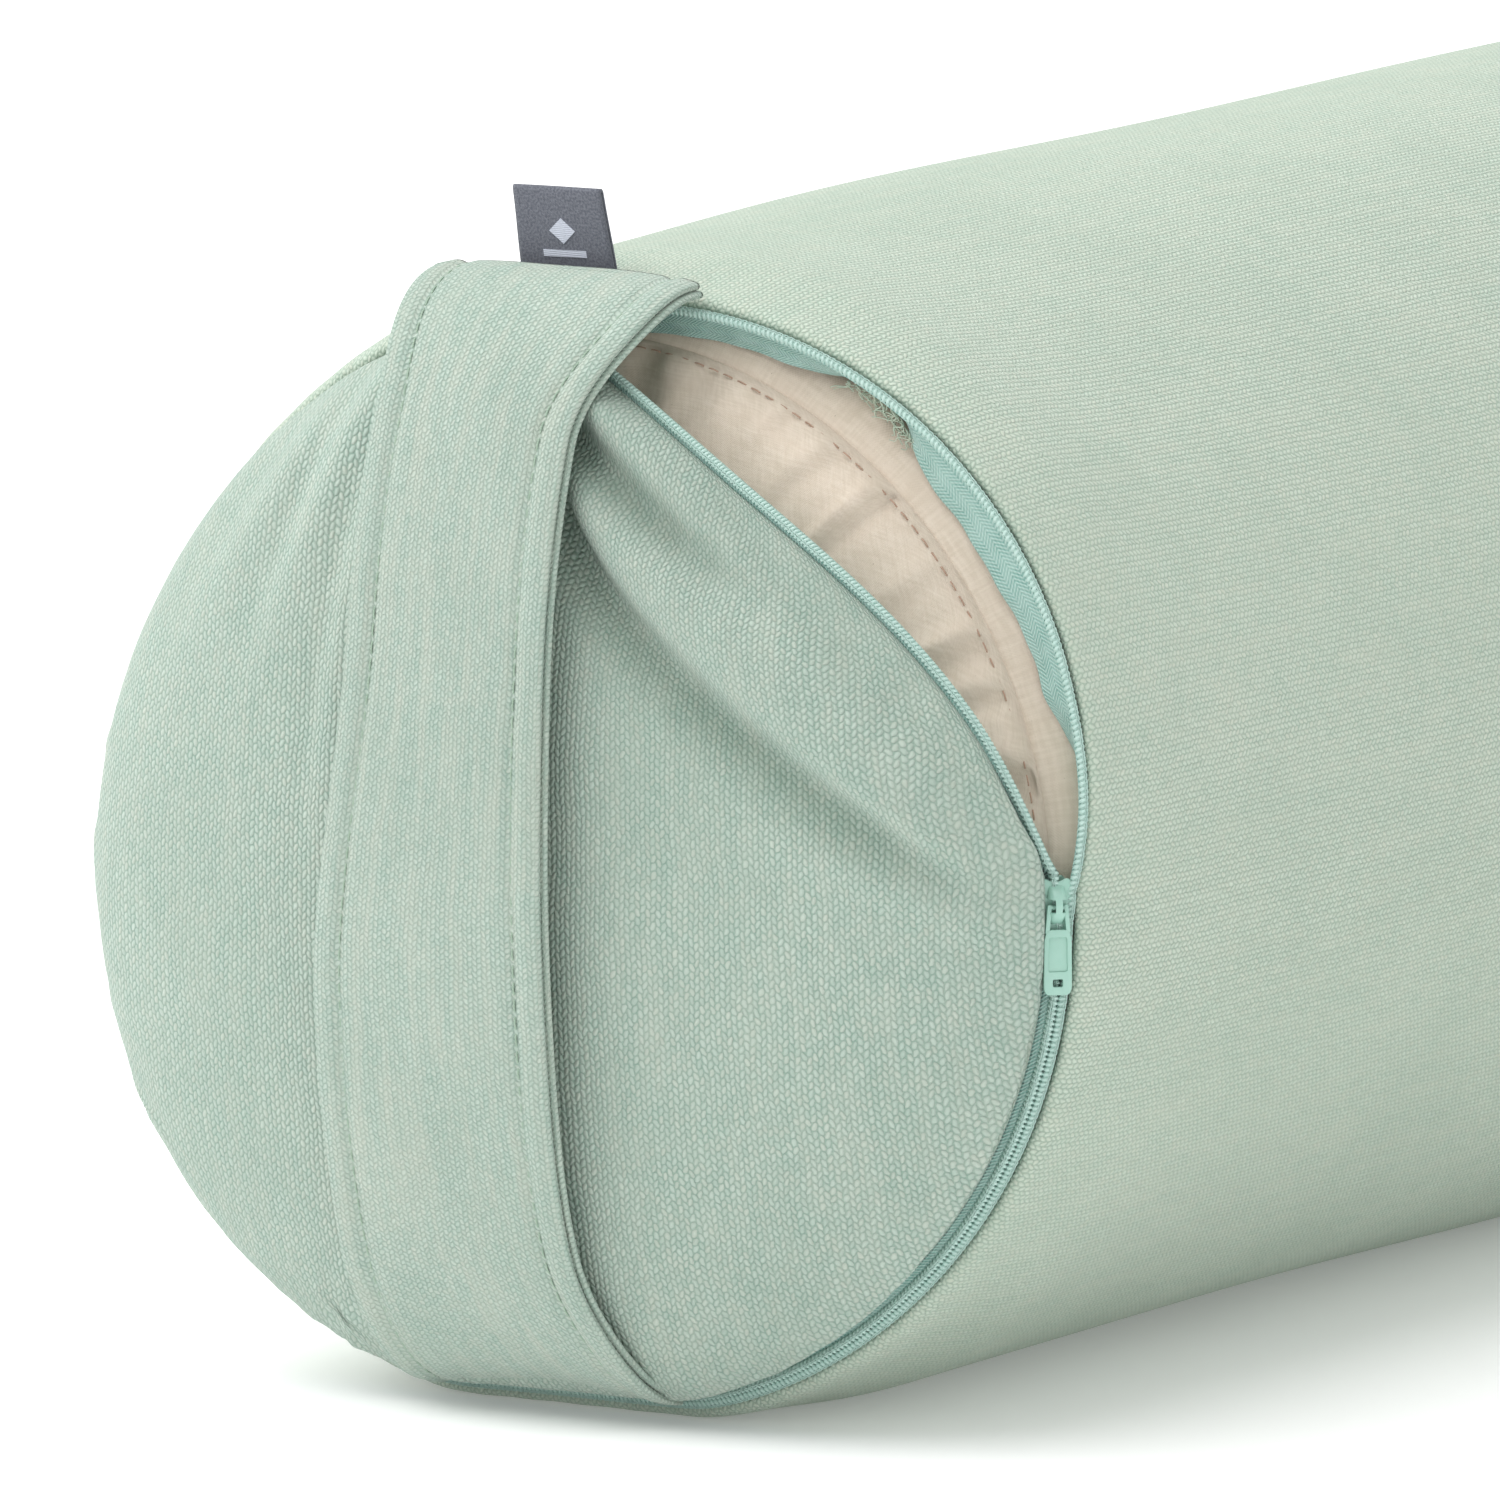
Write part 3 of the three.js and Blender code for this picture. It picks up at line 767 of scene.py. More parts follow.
def panel_edge(angle):
    """Centre line of the panel side's coil, as [x, radius], with the outward directions across and out."""
    sag = flap_sag(angle)
    offset = rim_offset(angle)
    x = ZIP_SETBACK + crown_x(PANEL_EDGE - sag) - crown_x(PANEL_EDGE)
    radius = ZIP_RADIUS + offset - sag
    u = np.clip((PANEL_EDGE - np.maximum(sag, 3.0)) / PANEL_EDGE, 0, 1)
    slope = PANEL_CROWN / PANEL_EDGE * (1 - u ** FULLNESS) ** (1 / FULLNESS - 1) * u ** (FULLNESS - 1)
    w = np.clip(sag / 6, 0, 1)
    tx, tr = zip_turn(angle)
    ax = (1 - w) * tx + w * slope / np.hypot(slope, 1)
    ar = (1 - w) * tr + w / np.hypot(slope, 1)
    size = np.hypot(ax, ar)
    return x, radius, ax / size, ar / size


def crown_profile(count=400):
    """Length along the crowned panel from its middle, and the radius it reaches."""
    radius = PANEL_EDGE * np.sin(np.linspace(0, math.pi / 2, count))
    x = -PANEL_CROWN * superellipse(radius / PANEL_EDGE)
    return np.concatenate([[0], np.cumsum(np.hypot(np.diff(radius), np.diff(x)))]), radius


def panel_points(disc, angle, sagged):
    """Local points of the crowned panel: disc is the share of the way out along the cloth."""
    run, radii = crown_profile()
    r = np.interp(disc * run[-1], run, radii)
    edge_x, edge_r, ax, ar = panel_edge(angle)
    sag = flap_sag(angle) if sagged else 0 * angle
    half = band_half(angle)
    hem = half * DIAGONAL - 0.9
    share = r / PANEL_EDGE
    pull = sag * smooth(share, 0.35, 1.0)
    shrink = (PANEL_EDGE - half * DIAGONAL + 1.0 + rim_offset(angle)) / PANEL_EDGE
    radius = r * ((1 - share ** 3) + share ** 3 * shrink) - pull
    off = share ** 6
    radius = radius + off * ((edge_r - half * ar) - (PANEL_EDGE * shrink - sag))
    seat = edge_x if sagged else ZIP_SETBACK
    x = crown_x(r - pull) - hem * off
    x = x + off * ((seat - half * ax) - (crown_x(PANEL_EDGE - sag) - hem))
    return ring(angle, x, radius), run[-1]


def zip_end_panel():
    s = np.linspace(-1, 1, PANEL_GRID)
    u, w = np.meshgrid(s, s)
    y, z = u * np.sqrt(1 - w * w / 2), w * np.sqrt(1 - u * u / 2)
    disc, angle = np.clip(np.hypot(y, z), 0, 1), np.degrees(np.arctan2(z, y)) % 360
    closed, reach = panel_points(disc, angle, False)
    start, _ = panel_points(disc, angle, True)
    flat = reach * 0.5 + 0.5 * np.interp(disc * reach, *crown_profile()) / np.maximum(disc, 1e-6)
    uv = polar(disc * flat, np.radians(angle))
    obj = grid("cover_zip_end", start, uv, CANVAS_UPRIGHT_SHADED, "cover_canvas", body=None, flip=True)
    edge = np.ones((PANEL_GRID, PANEL_GRID), bool)
    edge[1:-1, 1:-1] = False
    drape(obj, settled(closed).reshape(-1, 3), edge.ravel())
    flap_folds(obj, disc.ravel())
    roll_hem(obj)
    refine(thicken(obj, CANVAS_THICK))
    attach(obj, "cushion")
    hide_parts("cover_zip_end_panel", "cover_zip_end_seam_allowance")


def along_fold(y, z, start, end, bow, peak=1.0):
    """Share of the way along a bowed line on the panel, and the distance to its outer side."""
    start, end = np.array(start), np.array(end)
    way = end - start
    size = np.hypot(*way)
    s = ((y - start[0]) * way[0] + (z - start[1]) * way[1]) / size ** 2
    normal = np.array([way[1], -way[0]]) / size
    d = (y - start[0]) * normal[0] + (z - start[1]) * normal[1]
    return s, d + bow * np.sin(math.pi * np.clip(s, 0, 1) ** peak)


def hump(d, width):
    return np.exp(-((d / width) ** 2))


def flap_folds(obj, disc):
    """The open flap's standing folds: a crease from the strap to the slider, the puffed band above it,
    a shorter tuck in that band next to the strap, and soft folds on the strap's other side."""
    co = np.zeros(len(obj.data.vertices) * 3)
    obj.data.vertices.foreach_get("co", co)
    co = co.reshape(-1, 3)
    y, z = co[:, 1] * 1000, co[:, 2] * 1000 - AXIS

    s, d = along_fold(y, z, (-10.0, 76.0), (-105.5, 1.0), 7.5, 0.62)
    held = smooth(s, -0.22, 0.02) * (1 - smooth(s, 0.70, 1.0))
    width = 6 + 27 * np.clip(1 - s, 0, 1.1) ** 0.75
    band = np.where(d > 0, np.sin(math.pi * np.clip(d / width, 0, 1) ** 0.75) ** 0.8, 0)
    crease = np.where(d > 0, hump(d, 2.4), hump(d, 6.5))
    rise = held * (8.4 * band - 7.6 * crease * (1 - 0.4 * np.clip(s, 0, 1)))
    s, d = along_fold(y, z, (-11.0, 86.0), (-66.0, 47.0), 0.6)
    tuck = smooth(s, -0.25, 0.0) * (1 - smooth(s, 0.25, 1.05))
    rise = rise - tuck * 10.5 * np.where(d > 0, hump(d, 3.6), hump(d, 4.6))
    s, d = along_fold(y, z, (-48.0, 20.0), (-106.0, -3.0), 1.5)
    rise = rise + smooth(s, 0.1, 0.6) * (1 - smooth(s, 0.85, 1.05)) * 1.8 * hump(d, 3.5)
    for start, end, depth, width in (((37, 98), (62, 22), 1.7, 5.0), ((48, 90), (84, 30), 1.2, 5.5),
                                     ((33, 78), (44, -20), 1.1, 4.0)):
        s, d = along_fold(y, z, start, end, 1.5)
        part = smooth(s, -0.15, 0.15) * (1 - smooth(s, 0.25, 1.0)) * depth
        rise = rise + part * (hump(d - width, width) - hump(d, 0.7 * width))
    rise = rise * (1 - smooth(disc, 0.90, 0.995))
    reach = np.maximum(np.hypot(y, z), 1)
    co[:, 0] -= rise * 0.93 / 1000
    co[:, 1] += rise * 0.3 * y / reach / 1000
    co[:, 2] += rise * 0.3 * z / reach / 1000
    obj.data.vertices.foreach_set("co", co.ravel())
    obj.data.update()


def support_mesh():
    """The filled casing as the panel meets it: a crown just inside the panel, lower behind the flap."""
    size = (40, 120)
    r = np.broadcast_to(np.linspace(0, 0.985, size[0])[:, None], size) * PANEL_EDGE
    a = np.broadcast_to(np.linspace(0, 360, size[1] + 1)[None, :-1], size)
    drop = 2.2 + flap_sag(a) * 0.75 * smooth(r, 40, 92)
    points = ring(a, crown_x(r) + drop, r * (1 + rim_offset(a) / PANEL_EDGE * (r / PANEL_EDGE) ** 3))
    obj = grid("support", points, np.zeros((*size, 2)), COTTON_LOOK, "casing_cotton", None,
               round_trip=(0, 0))
    obj.modifiers.new("Collision", "COLLISION")
    obj.collision.thickness_outer = 0.001
    obj.collision.cloth_friction = 12
    return obj


def drape(obj, rest, pinned):
    """Lets the panel settle on its filling, held along its sewn edge, and keeps the shape it takes."""
    support = support_mesh()
    obj.shape_key_add(name="Basis")
    cut = obj.shape_key_add(name="cut")
    cut.data.foreach_set("co", rest.ravel())
    group = obj.vertex_groups.new(name="sewn edge")
    group.add([int(i) for i in np.flatnonzero(pinned)], 1.0, "REPLACE")
    cloth = obj.modifiers.new("Cloth", "CLOTH")
    fabric = cloth.settings
    fabric.quality = 9
    fabric.mass = 0.35
    fabric.vertex_group_mass = "sewn edge"
    fabric.rest_shape_key = cut
    fabric.tension_stiffness = 30
    fabric.compression_stiffness = 30
    fabric.shear_stiffness = 12
    fabric.bending_stiffness = 1.6
    fabric.air_damping = 4
    cloth.collision_settings.distance_min = 0.001
    cloth.collision_settings.collision_quality = 3
    cloth.point_cache.frame_start = 1
    cloth.point_cache.frame_end = DRAPE_FRAMES
    scene = bpy.context.scene
    scene.frame_start, scene.frame_end = 1, DRAPE_FRAMES
    for at in range(1, DRAPE_FRAMES + 1):
        scene.frame_set(at)
    shaped = bpy.data.meshes.new_from_object(obj.evaluated_get(bpy.context.evaluated_depsgraph_get()))
    co = np.zeros(len(shaped.vertices) * 3)
    shaped.vertices.foreach_get("co", co)
    obj.modifiers.clear()
    obj.shape_key_clear()
    obj.data.vertices.foreach_set("co", co)
    obj.data.update()
    bpy.data.meshes.remove(shaped)
    bpy.data.objects.remove(support)
    scene.frame_set(1)


def roll_hem(obj):
    """Turns the panel's sewn edge under, along the cloth and then down into the cushion."""
    mesh = obj.data
    bm = bmesh.new()
    bm.from_mesh(mesh)
    bm.verts.ensure_lookup_table()
    layer = bm.loops.layers.uv.active
    rim = [e for e in bm.edges if e.is_boundary]
    frames, spot = {}, {}
    for v in {v for e in rim for v in e.verts}:
        turn = math.atan2(v.co.z - AXIS / 1000, v.co.y)
        ax, ar = (float(d) for d in panel_edge(math.degrees(turn) % 360)[2:])
        out = Vector((ax, ar * math.cos(turn), ar * math.sin(turn)))
        under = Vector((ar, -ax * math.cos(turn), -ax * math.sin(turn)))
        frames[v.index], spot[v.index] = (out, under), v.co.copy()
    source = {v: v.index for v in bm.verts}
    for forth, down in ((0.3, 0.2), (0.38, 0.7), (0.0, 1.4), (-2.4, 1.9)):
        made = bmesh.ops.extrude_edge_only(bm, edges=rim)["geom"]
        fresh = [g for g in made if isinstance(g, bmesh.types.BMVert)]
        for v in fresh:
            near = [e.other_vert(v) for e in v.link_edges]
            olds = [o for o in near if o in source and o not in fresh]
            source[v] = source[min(olds, key=lambda o: (o.co - v.co).length)]
            out, under = frames[source[v]]
            v.co = spot[source[v]] + (out * forth + under * down) / 1000
        rim = [g for g in made if isinstance(g, bmesh.types.BMEdge) and g.is_boundary]
        for face in {f for v in fresh for f in v.link_faces}:
            olds = [loop[layer].uv.length for loop in face.loops if loop.vert not in fresh]
            far = max(olds) if olds else 118
            for loop in face.loops:
                if loop.vert in fresh:
                    turn = math.atan2(loop.vert.co.z - AXIS / 1000, loop.vert.co.y)
                    loop[layer].uv = Vector((math.cos(turn), math.sin(turn))) * (far + 0.9)
    bm.normal_update()
    bm.to_mesh(mesh)
    bm.free()
    mesh.polygons.foreach_set("use_smooth", [True] * len(mesh.polygons))


# ---- Cover: the plain end panel ----
def plain_end_panel():
    rows = [(-8.0, -5.5), (-2.5, -5.2), (0.2, -4.2), (0.6, -2.6), (1.4, -1.5)]
    share = np.sin(np.linspace(math.pi / 2 - 0.09, 0.0, 44))
    angles = np.linspace(0, 360, 241)[:-1]
    a, s = np.meshgrid(angles, share)
    turn = np.radians(a)
    puff = 0.5 * np.sin(2 * turn + 1) * smooth(s, 0.1, 0.6)
    puff = puff + 0.5 * np.sin(3 * turn + 5 * s) * smooth(s, 0.1, 0.5)
    pucker = 0.35 * ripple_round(a, 44, 3, 3) * smooth(s, 0.90, 1.0)
    x = RIM_SPACING + 1.6 + 34.0 * superellipse(s) + (puff + pucker) * (1 - s ** 8) + pucker * 0.5
    hem = np.stack([ring(angles, RIM_SPACING + out, TUBE_RADIUS + d + 0 * angles) for out, d in rows])
    reach = np.concatenate([[134.0, 129, 126, 124, 122], 120.0 * np.linspace(1.0, 0.0, 44)])
    uv = polar(reach[:, None], np.radians(angles))
    obj = disc_grid("cover_plain_end", np.concatenate([hem, ring(a, x, s * 109.0)]), uv,
                    CANVAS_UPRIGHT_SHADED, "cover_canvas", ("cover_plain_end_panel",))
    thicken(obj, CANVAS_THICK)


# ---- Inner casing and filling ----
def casing():
    seam_x, seam_r = CASING_SEAM
    angles = np.linspace(0, 360, 361)[:-1]
    a, s = np.meshgrid(angles, np.sin(np.linspace(math.pi / 2, 0.0, 60)))
    turn = np.radians(a)
    random.seed(7)
    pucker = 0 * a
    for _ in range(120):
        at, width, depth = random.uniform(0, 360), random.uniform(0.7, 1.8), random.uniform(0.6, 2.3)
        length = random.uniform(0.10, 0.30)
        swung = a + random.uniform(-5, 5) * (1 - s)
        pucker -= depth * bell(swung, at, width) * smooth(s, 1 - length, 1.0 - 0.2 * length)
        beside = bell(swung, at + 2.2 * width, width * 1.3)
        pucker += 0.5 * depth * beside * smooth(s, 1 - length, 1.0)
    pucker = pucker * (1 - smooth(s, 0.984, 0.999))
    lumps = 1.0 * np.sin(3 * turn + 4 * s) + 0.8 * np.sin(5 * turn - 7 * s + 1)
    lumps = lumps + 0.5 * np.sin(9 * turn + 11 * s)
    lumps = lumps * smooth(s, 0.15, 0.6) * (1 - smooth(s, 0.93, 1.0))
    radius = s * (seam_r + seam_follow(a) * s ** 2)
    height = 24.5 * (1 - s ** 3) ** 0.85 - pucker - lumps
    dip = 0.25 * np.exp(-(((1 - s) / 0.006) ** 2))
    zip_end = ring(a, seam_x - height + dip, radius)
    far_end = ring(a, RIM_SPACING - 2 + 29 * superellipse(s) + 0.6 * lumps, s * 101.5)
    uv = polar(seam_r * 1.12 * np.linspace(1.0, 0.0, 60)[:, None], turn)
    for name, points, node, flip in (
        ("casing_zip_end", zip_end, "casing_zip_end_panel", True),
        ("casing_plain_end", far_end, "casing_plain_end_panel", False),
    ):
        face = disc_grid(name, points, uv, COTTON_LOOK, "casing_cotton", (node,), flip)

    start = [(4.6, 98.6), (3.0, 99.8), (2.3, 101.0), (2.1, 101.8), (2.5, 102.6), (3.1, 103.5), (3.9, 104.4),
             (5.0, 105.2), (6.6, 106.0), (9.4, 106.6), (14.0, 106.8), (22.0, 106.9)]
    middle = [(x, 106.9) for x in np.linspace(36, 544, 36)]
    stop = [(556, 106.8), (565, 106.0), (572, 104.6), (576, 103.0), (578, 101.5)]
    profile = np.array(start + middle + stop)
    xs, radii = profile.T
    a, x = np.meshgrid(angles, xs)
    offset, bulge = follows(a, x)
    grow = offset + bulge * (0.12 + 0.6 * smooth(x, 1.5, 8))
    wave = 0.7 * ripple_round(a, 31, 2.5, 5) * np.exp(-((x - 8) / 5) ** 2) * smooth(x, 2.8, 7)
    wave = wave * (0.4 + 0.6 * np.sin(np.radians(a) * 3 + 1) ** 2)
    run = np.cumsum(np.hypot(np.diff(xs, prepend=xs[0]), np.diff(radii, prepend=radii[0])))
    uv = np.stack([np.broadcast_to(run[:, None], a.shape), np.radians(a) * 107], -1)
    body = grid("casing_body", ring(a, x, radii[:, None] + grow + wave), uv, COTTON_LOOK,
                "casing_cotton", replaces=("casing_tube",), round_trip=(0, 2 * math.pi * 107))

    line = np.linspace(0, 360, 1441)
    turn = np.radians(line)
    normal = np.stack([-0.75 + 0 * line, 0.66 * np.cos(turn), 0.66 * np.sin(turn)], -1)
    near = settled(ring(line, seam_x - 1.97, seam_r - 1.2 + seam_follow(line)))
    stitches("casing_end_stitching", near, normal, ROSE_THREAD, "casing_cotton", 2.1, 1.2, 0.16)
    far = settled(ring(line, RIM_SPACING - 1.5, 101.8 + 0 * line))
    stitches("casing_far_stitching", far, normal * [-1, 1, 1], ROSE_THREAD, "casing_cotton", 2.3, 0.9, 0.17)


def seam_follow(angle):
    """How the casing's end seam follows the rim."""
    return rim_offset(angle) + 0.12 * mouth_bulge(angle)


def filling():
    angles = np.linspace(0, 360, 121)[:-1]
    a, t = np.meshgrid(angles, np.linspace(0, math.pi, 50))
    x = RIM_SPACING / 2 - (RIM_SPACING / 2 + 12) * np.sign(np.cos(t)) * np.abs(np.cos(t)) ** 0.35
    r = 96.0 * np.abs(np.sin(t)) ** 0.45
    turn = np.radians(a)
    lump = 1.6 * np.sin(5 * turn + x / 19) + 1.2 * np.sin(9 * turn - x / 13)
    lump = lump + 0.8 * np.sin(14 * turn + x / 7)
    points = ring(a, x, np.maximum(r + lump * smooth(r, 20, 70), 0))
    obj = grid("filling", points, np.stack([x, turn * 96], -1), FIBRE_LOOK, "fibre_fill",
               replaces=("filling_core",), round_trip=(0, 603), flip=True)
    weld(obj, 0.0001)


# ---- Seam allowances inside the cover ----
def ring_allowance(name, node, x, outer, depth, look, slot):
    a, s = np.meshgrid(np.linspace(0, 360, 361)[:-1], np.linspace(0, 1, 7))
    wave = 0.9 * s * ripple_round(a, 29, 2, 4)
    fray = 0.35 * np.sin(np.radians(a) * 180) * smooth(s, 0.9, 1)
    points = ring(a, x + wave, outer - s * (depth + fray))
    uv = np.stack([s * depth, np.radians(a) * outer], -1)
    obj = grid(name, points, uv, look, slot, replaces=(node,), round_trip=(0, 2 * math.pi * outer))
    thicken(obj, 0.6)


def long_allowance(name, node, radius, angle, width, start, end, look, slot):
    x, s = np.meshgrid(np.linspace(start, end, 120), np.linspace(-1, 1, 9))
    edge = np.abs(s) ** 6
    wave = 0.25 * edge * np.sin(x / 6 + 2 * np.sin(x / 37))
    a = angle + np.degrees(s * (width / 2 + wave) / radius)
    points = ring(a, x, radius - 0.15 - 0.3 * edge + 0.1 * np.sin(x / 11))
    obj = grid(name, points, np.stack([x, s * width / 2], -1), look, slot, replaces=(node,))
    thicken(obj, 0.5)


# ---- Handle strap ----
def strap_line(turn):
    """The strap's outer line at a turn from 90 (top seam) to -90 (foot): x and height, with its two edges."""
    t = np.radians(turn)
    reach = np.where(np.sin(t) > 0, STRAP_TOP, STRAP_FOOT)
    height = np.sign(np.sin(t)) * reach * np.abs(np.sin(t)) ** (2 / FULLNESS)
    x = -0.4 - STRAP_REACH * np.abs(np.cos(t)) ** (2 / FULLNESS)
    down = (STRAP_TOP - height) / (STRAP_TOP + STRAP_FOOT)
    flare = smooth(height, 84, 116) ** 1.2
    foot = smooth(-height, 70, 108) ** 1.2
    right = -16.6 - 3.2 * down - 11.5 * flare - 7.0 * foot
    left = 26.4 + 3.6 * flare + 6.2 * smooth(-height, -45, 22) - 1.6 * foot
    return x, height, right, left


def strap_frame(turns):
    """The strap's line with its outward directions and the length run along it from the middle."""
    x, height, right, left = strap_line(turns)
    dx, dz = np.gradient(x), np.gradient(height)
    size = np.hypot(dx, dz)
    out = np.stack([dz / size, 0 * dx, -dx / size], -1)
    out *= np.sign((out * np.stack([x - 60, 0 * x, height], -1)).sum(1))[:, None]
    run = np.concatenate([[0], np.cumsum(np.hypot(np.diff(x), np.diff(height)))])
    return x, height, right, left, out, run - run[-1] if turns[0] > 0 else run


def ply_section(low, high, thick, run, quilted):
    """A ply cut across: folded edges with the face arched, puffed and pressed in along its stitches."""
    flat = np.linspace(-1, 1, 61)
    around = np.linspace(-math.pi / 2, math.pi / 2, 9)[1:-1]
    middle, half = (low + high) / 2, (high - low) / 2 - thick / 2
    y = middle + flat * half
    near = np.minimum(y - low, high - y)
    arch = 1.1 * (1 - flat ** 2)
    ripple = 0.22 * np.sin(run / 21 + 1.3) * (1 - flat ** 4) + 0.15 * np.sin(run / 9 + 5 * flat)
    seam = -0.55 * hump(near - 6.0, 1.0) if quilted else 0.0
    puff = 0.30 * hump(near - 3.0, 1.7) if quilted else 0.0
    top = arch + ripple + seam + puff
    base = arch + ripple - thick

    def edge(end, side, turns):
        across = middle + side * (half + thick / 2 * np.cos(turns))
        swell = thick / 2 + (top[end] - base[end] - thick) / 2
        return across, base[end] + thick / 2 + swell * np.sin(turns)

    end_y, end_o = edge(-1, 1, around[::-1])
    start_y, start_o = edge(0, -1, around)
    return np.concatenate([y, end_y, y[::-1], start_y]), np.concatenate([top, end_o, base[::-1], start_o])


def ply(name, turns, depth, trim, look, quilted):
    """One half of a strap ply: a folded ribbon with soft edges, and its stitch rows pressed in."""
    x, height, right, left, out, run = strap_frame(turns)
    rows = []
    for i in range(len(turns)):
        yy, oo = ply_section(right[i] - trim, left[i] + trim, PLY_THICK, run[i], quilted)
        oo = oo - depth
        rows.append(np.stack([x[i] + out[i, 0] * oo, yy, height[i] + out[i, 2] * oo], -1))
    points = np.stack(rows)
    middle_row = points[-1 if turns[0] > 0 else 0]
    arc = length_along(middle_row)
    arc = np.append(arc, arc[-1] + np.linalg.norm(middle_row[0] - middle_row[-1]))
    index = numbered(*points.shape[:2], True)
    uv = np.stack(np.broadcast_arrays(arc[None, :], run[:, None]), -1)
    corners = [index[:-1, :-1], index[1:, :-1], index[1:, 1:], index[:-1, 1:]]
    maps = [uv[:-1, :-1], uv[1:, :-1], uv[1:, 1:], uv[:-1, 1:]]
    faces = np.stack(corners, -1).reshape(-1, 4).tolist()
    corner_uv = np.stack(maps, -2).reshape(-1, 2)
    for row, order in ((0, 1), (-1, -1)):
        faces.append(index[row, :-1][::order].tolist())
        corner_uv = np.concatenate([corner_uv, uv[row, :-1][::order]])
    obj = piece(name, settled(points), faces, corner_uv, look, "strap_canvas", None)
    obj.data.polygons.foreach_set("use_smooth", [True] * (len(faces) - 2) + [False, False])
    ends = set(index[0].tolist()), set(index[-1].tolist())
    for edge in obj.data.edges:
        edge.use_edge_sharp = any(set(edge.vertices) <= end for end in ends)
    return obj


def strap():
    halves = ("upper", 93.0, 0.0, 108.0, 30.0), ("lower", 0.0, -86.0, -97.0, -30.0)
    for part, first, last, seam, lifted in halves:
        turns = np.linspace(first, last, 96)
        face = ply(f"strap_face_{part}", turns, 0.0, 0.0, CANVAS_STRAP_SHADED, True)
        back = ply(f"strap_back_{part}", turns, 1.6, 0.7, CANVAS_STRAP_SHADED, False)
        for obj, node in ((face, "handle_strap_face"), (back, "handle_strap_back")):
            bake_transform(obj)
            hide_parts(node)
        for side in ("right", "left"):
            turns = np.linspace(first - (2 if first > 0 else 0), last, 300)
            x, height, right, left, out, run = strap_frame(turns)
            y = right + STRAP_STITCH_INSET if side == "right" else left - STRAP_STITCH_INSET
            share = (y - (right + left) / 2) / ((left - right) / 2)
            stand = 1.1 * (1 - share ** 2) + 0.22 * np.sin(run / 21 + 1.3) * (1 - share ** 4) - 0.5
            points = np.stack([x + out[:, 0] * stand, y, height + out[:, 2] * stand], -1)
            row = stitches(f"strap_stitches_{side}_{part}", settled(points), out, GREEN_THREAD,
                           "strap_canvas", 2.5, 0.8, 0.2, body=None, lift=0.06)
            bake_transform(row)


# ---- Label tab ----
def label():
    low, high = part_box("label_tab")
    base = np.array([-SEAM_X + (low.x + high.x) * 500, (low.y + high.y) * 500 + 1.2, low.z * 1000 - AXIS])
    half, wide, cols = 0.62, 10.4, 21

    def leaning(x, s, h):
        """A spot on the tab, which curls and leans a little with its height h; s runs across it."""
        return x + 0.5 * (h / 17) ** 2 * np.sin(1.6 * s + 0.6), 0.17 * h

    side = [(half, h) for h in np.linspace(-0.6, 16.6, 14)]
    fold = [(half * math.cos(t), 16.6 + 1.0 * math.sin(t)) for t in np.linspace(0, math.pi, 13)[1:-1]]
    loop = side + fold + [(-x, h) for x, h in side[::-1]]
    outline = np.array(loop + [(x * 0.45, min(h, 16.9)) for x, h in loop][::-1])
    s, k = np.meshgrid(np.linspace(-1, 1, cols), np.arange(len(outline)))
    x, h = outline[:, 0][k], outline[:, 1][k]
    forth, lean = leaning(x, s, h)
    y = s * (wide - 0.35 * smooth(h, 2, 15)) + lean
    points = base + np.stack([forth, y, h - 0.25 * s], -1)
    uv = np.stack([s * wide, length_along(outline)[k]], -1)
    tab = grid("label_ribbon", points, uv, LABEL_LOOK, "label_weave", None)
    index = numbered(*k.shape, False)
    last = len(k) - 1
    quads_left = [[index[last, j], index[last, j + 1], index[0, j + 1], index[0, j]] for j in range(cols - 1)]
    for col, order in ((0, 1), (cols - 1, -1)):
        for i in range(len(loop) - 1):
            quad = [index[i, col], index[i + 1, col], index[last - i - 1, col], index[last - i, col]]
            quads_left.append(quad[::order])
    bm = bmesh.new()
    bm.from_mesh(tab.data)
    bm.verts.ensure_lookup_table()
    for quad in quads_left:
        bm.faces.new([bm.verts[q] for q in quad])
    bmesh.ops.recalc_face_normals(bm, faces=bm.faces)
    for face in bm.faces:
        face.smooth = True
    bm.to_mesh(tab.data)
    bm.free()

    marks = []
    for shape in ([(0.0, 11.6), (2.9, 9.2), (0.0, 6.8), (-2.9, 9.2)],
                  [(-4.8, 5.6), (4.8, 5.6), (4.8, 4.3), (-4.8, 4.3)]):
        spots = []
        for lift in (-0.02, 0.16):
            for y, h in shape:
                forth, lean = leaning(-half - lift, y / wide, h)
                spots.append(base + [forth, y + lean, h - 0.25 * y / wide])
        walls = [(i, (i + 1) % 4, (i + 1) % 4 + 4, i + 4) for i in range(4)]
        marks.append((settled(spots), [(0, 1, 2, 3), (7, 6, 5, 4)] + walls))
    mark = piece("label_mark", *joined(marks), None, MARK_LOOK, "label_weave", None, shade=False)
    for obj in (tab, mark):
        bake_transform(obj)
    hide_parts("label_tab")


# ---- Zip ----
def tube_edge(angle):
    """Centre line of the tube side's coil, as [x, radius], with its direction across."""
    radius = ZIP_RADIUS + rim_offset(angle) + mouth_bulge(angle)
    tx, tr = zip_turn(angle)
    return ZIP_SETBACK + 0 * radius, radius, tx + 0 * radius, tr + 0 * radius


def parting(angle):
    """Extra half gap where the slider and the open mouth have parted the coils."""
    a = np.asarray(angle, float)
    return 0.75 * smooth(SLIDER_AT + 2.6 - a, 0, 4.0) * smooth(a, 158, 172)


def coil_centre(angle, side):
    x, r, ax, ar = (tube_edge if side > 0 else panel_edge)(angle)
    stand = side * (COIL_HALF + 0.12 + parting(angle))
    return x + ax * stand, r + ar * stand, ax, ar


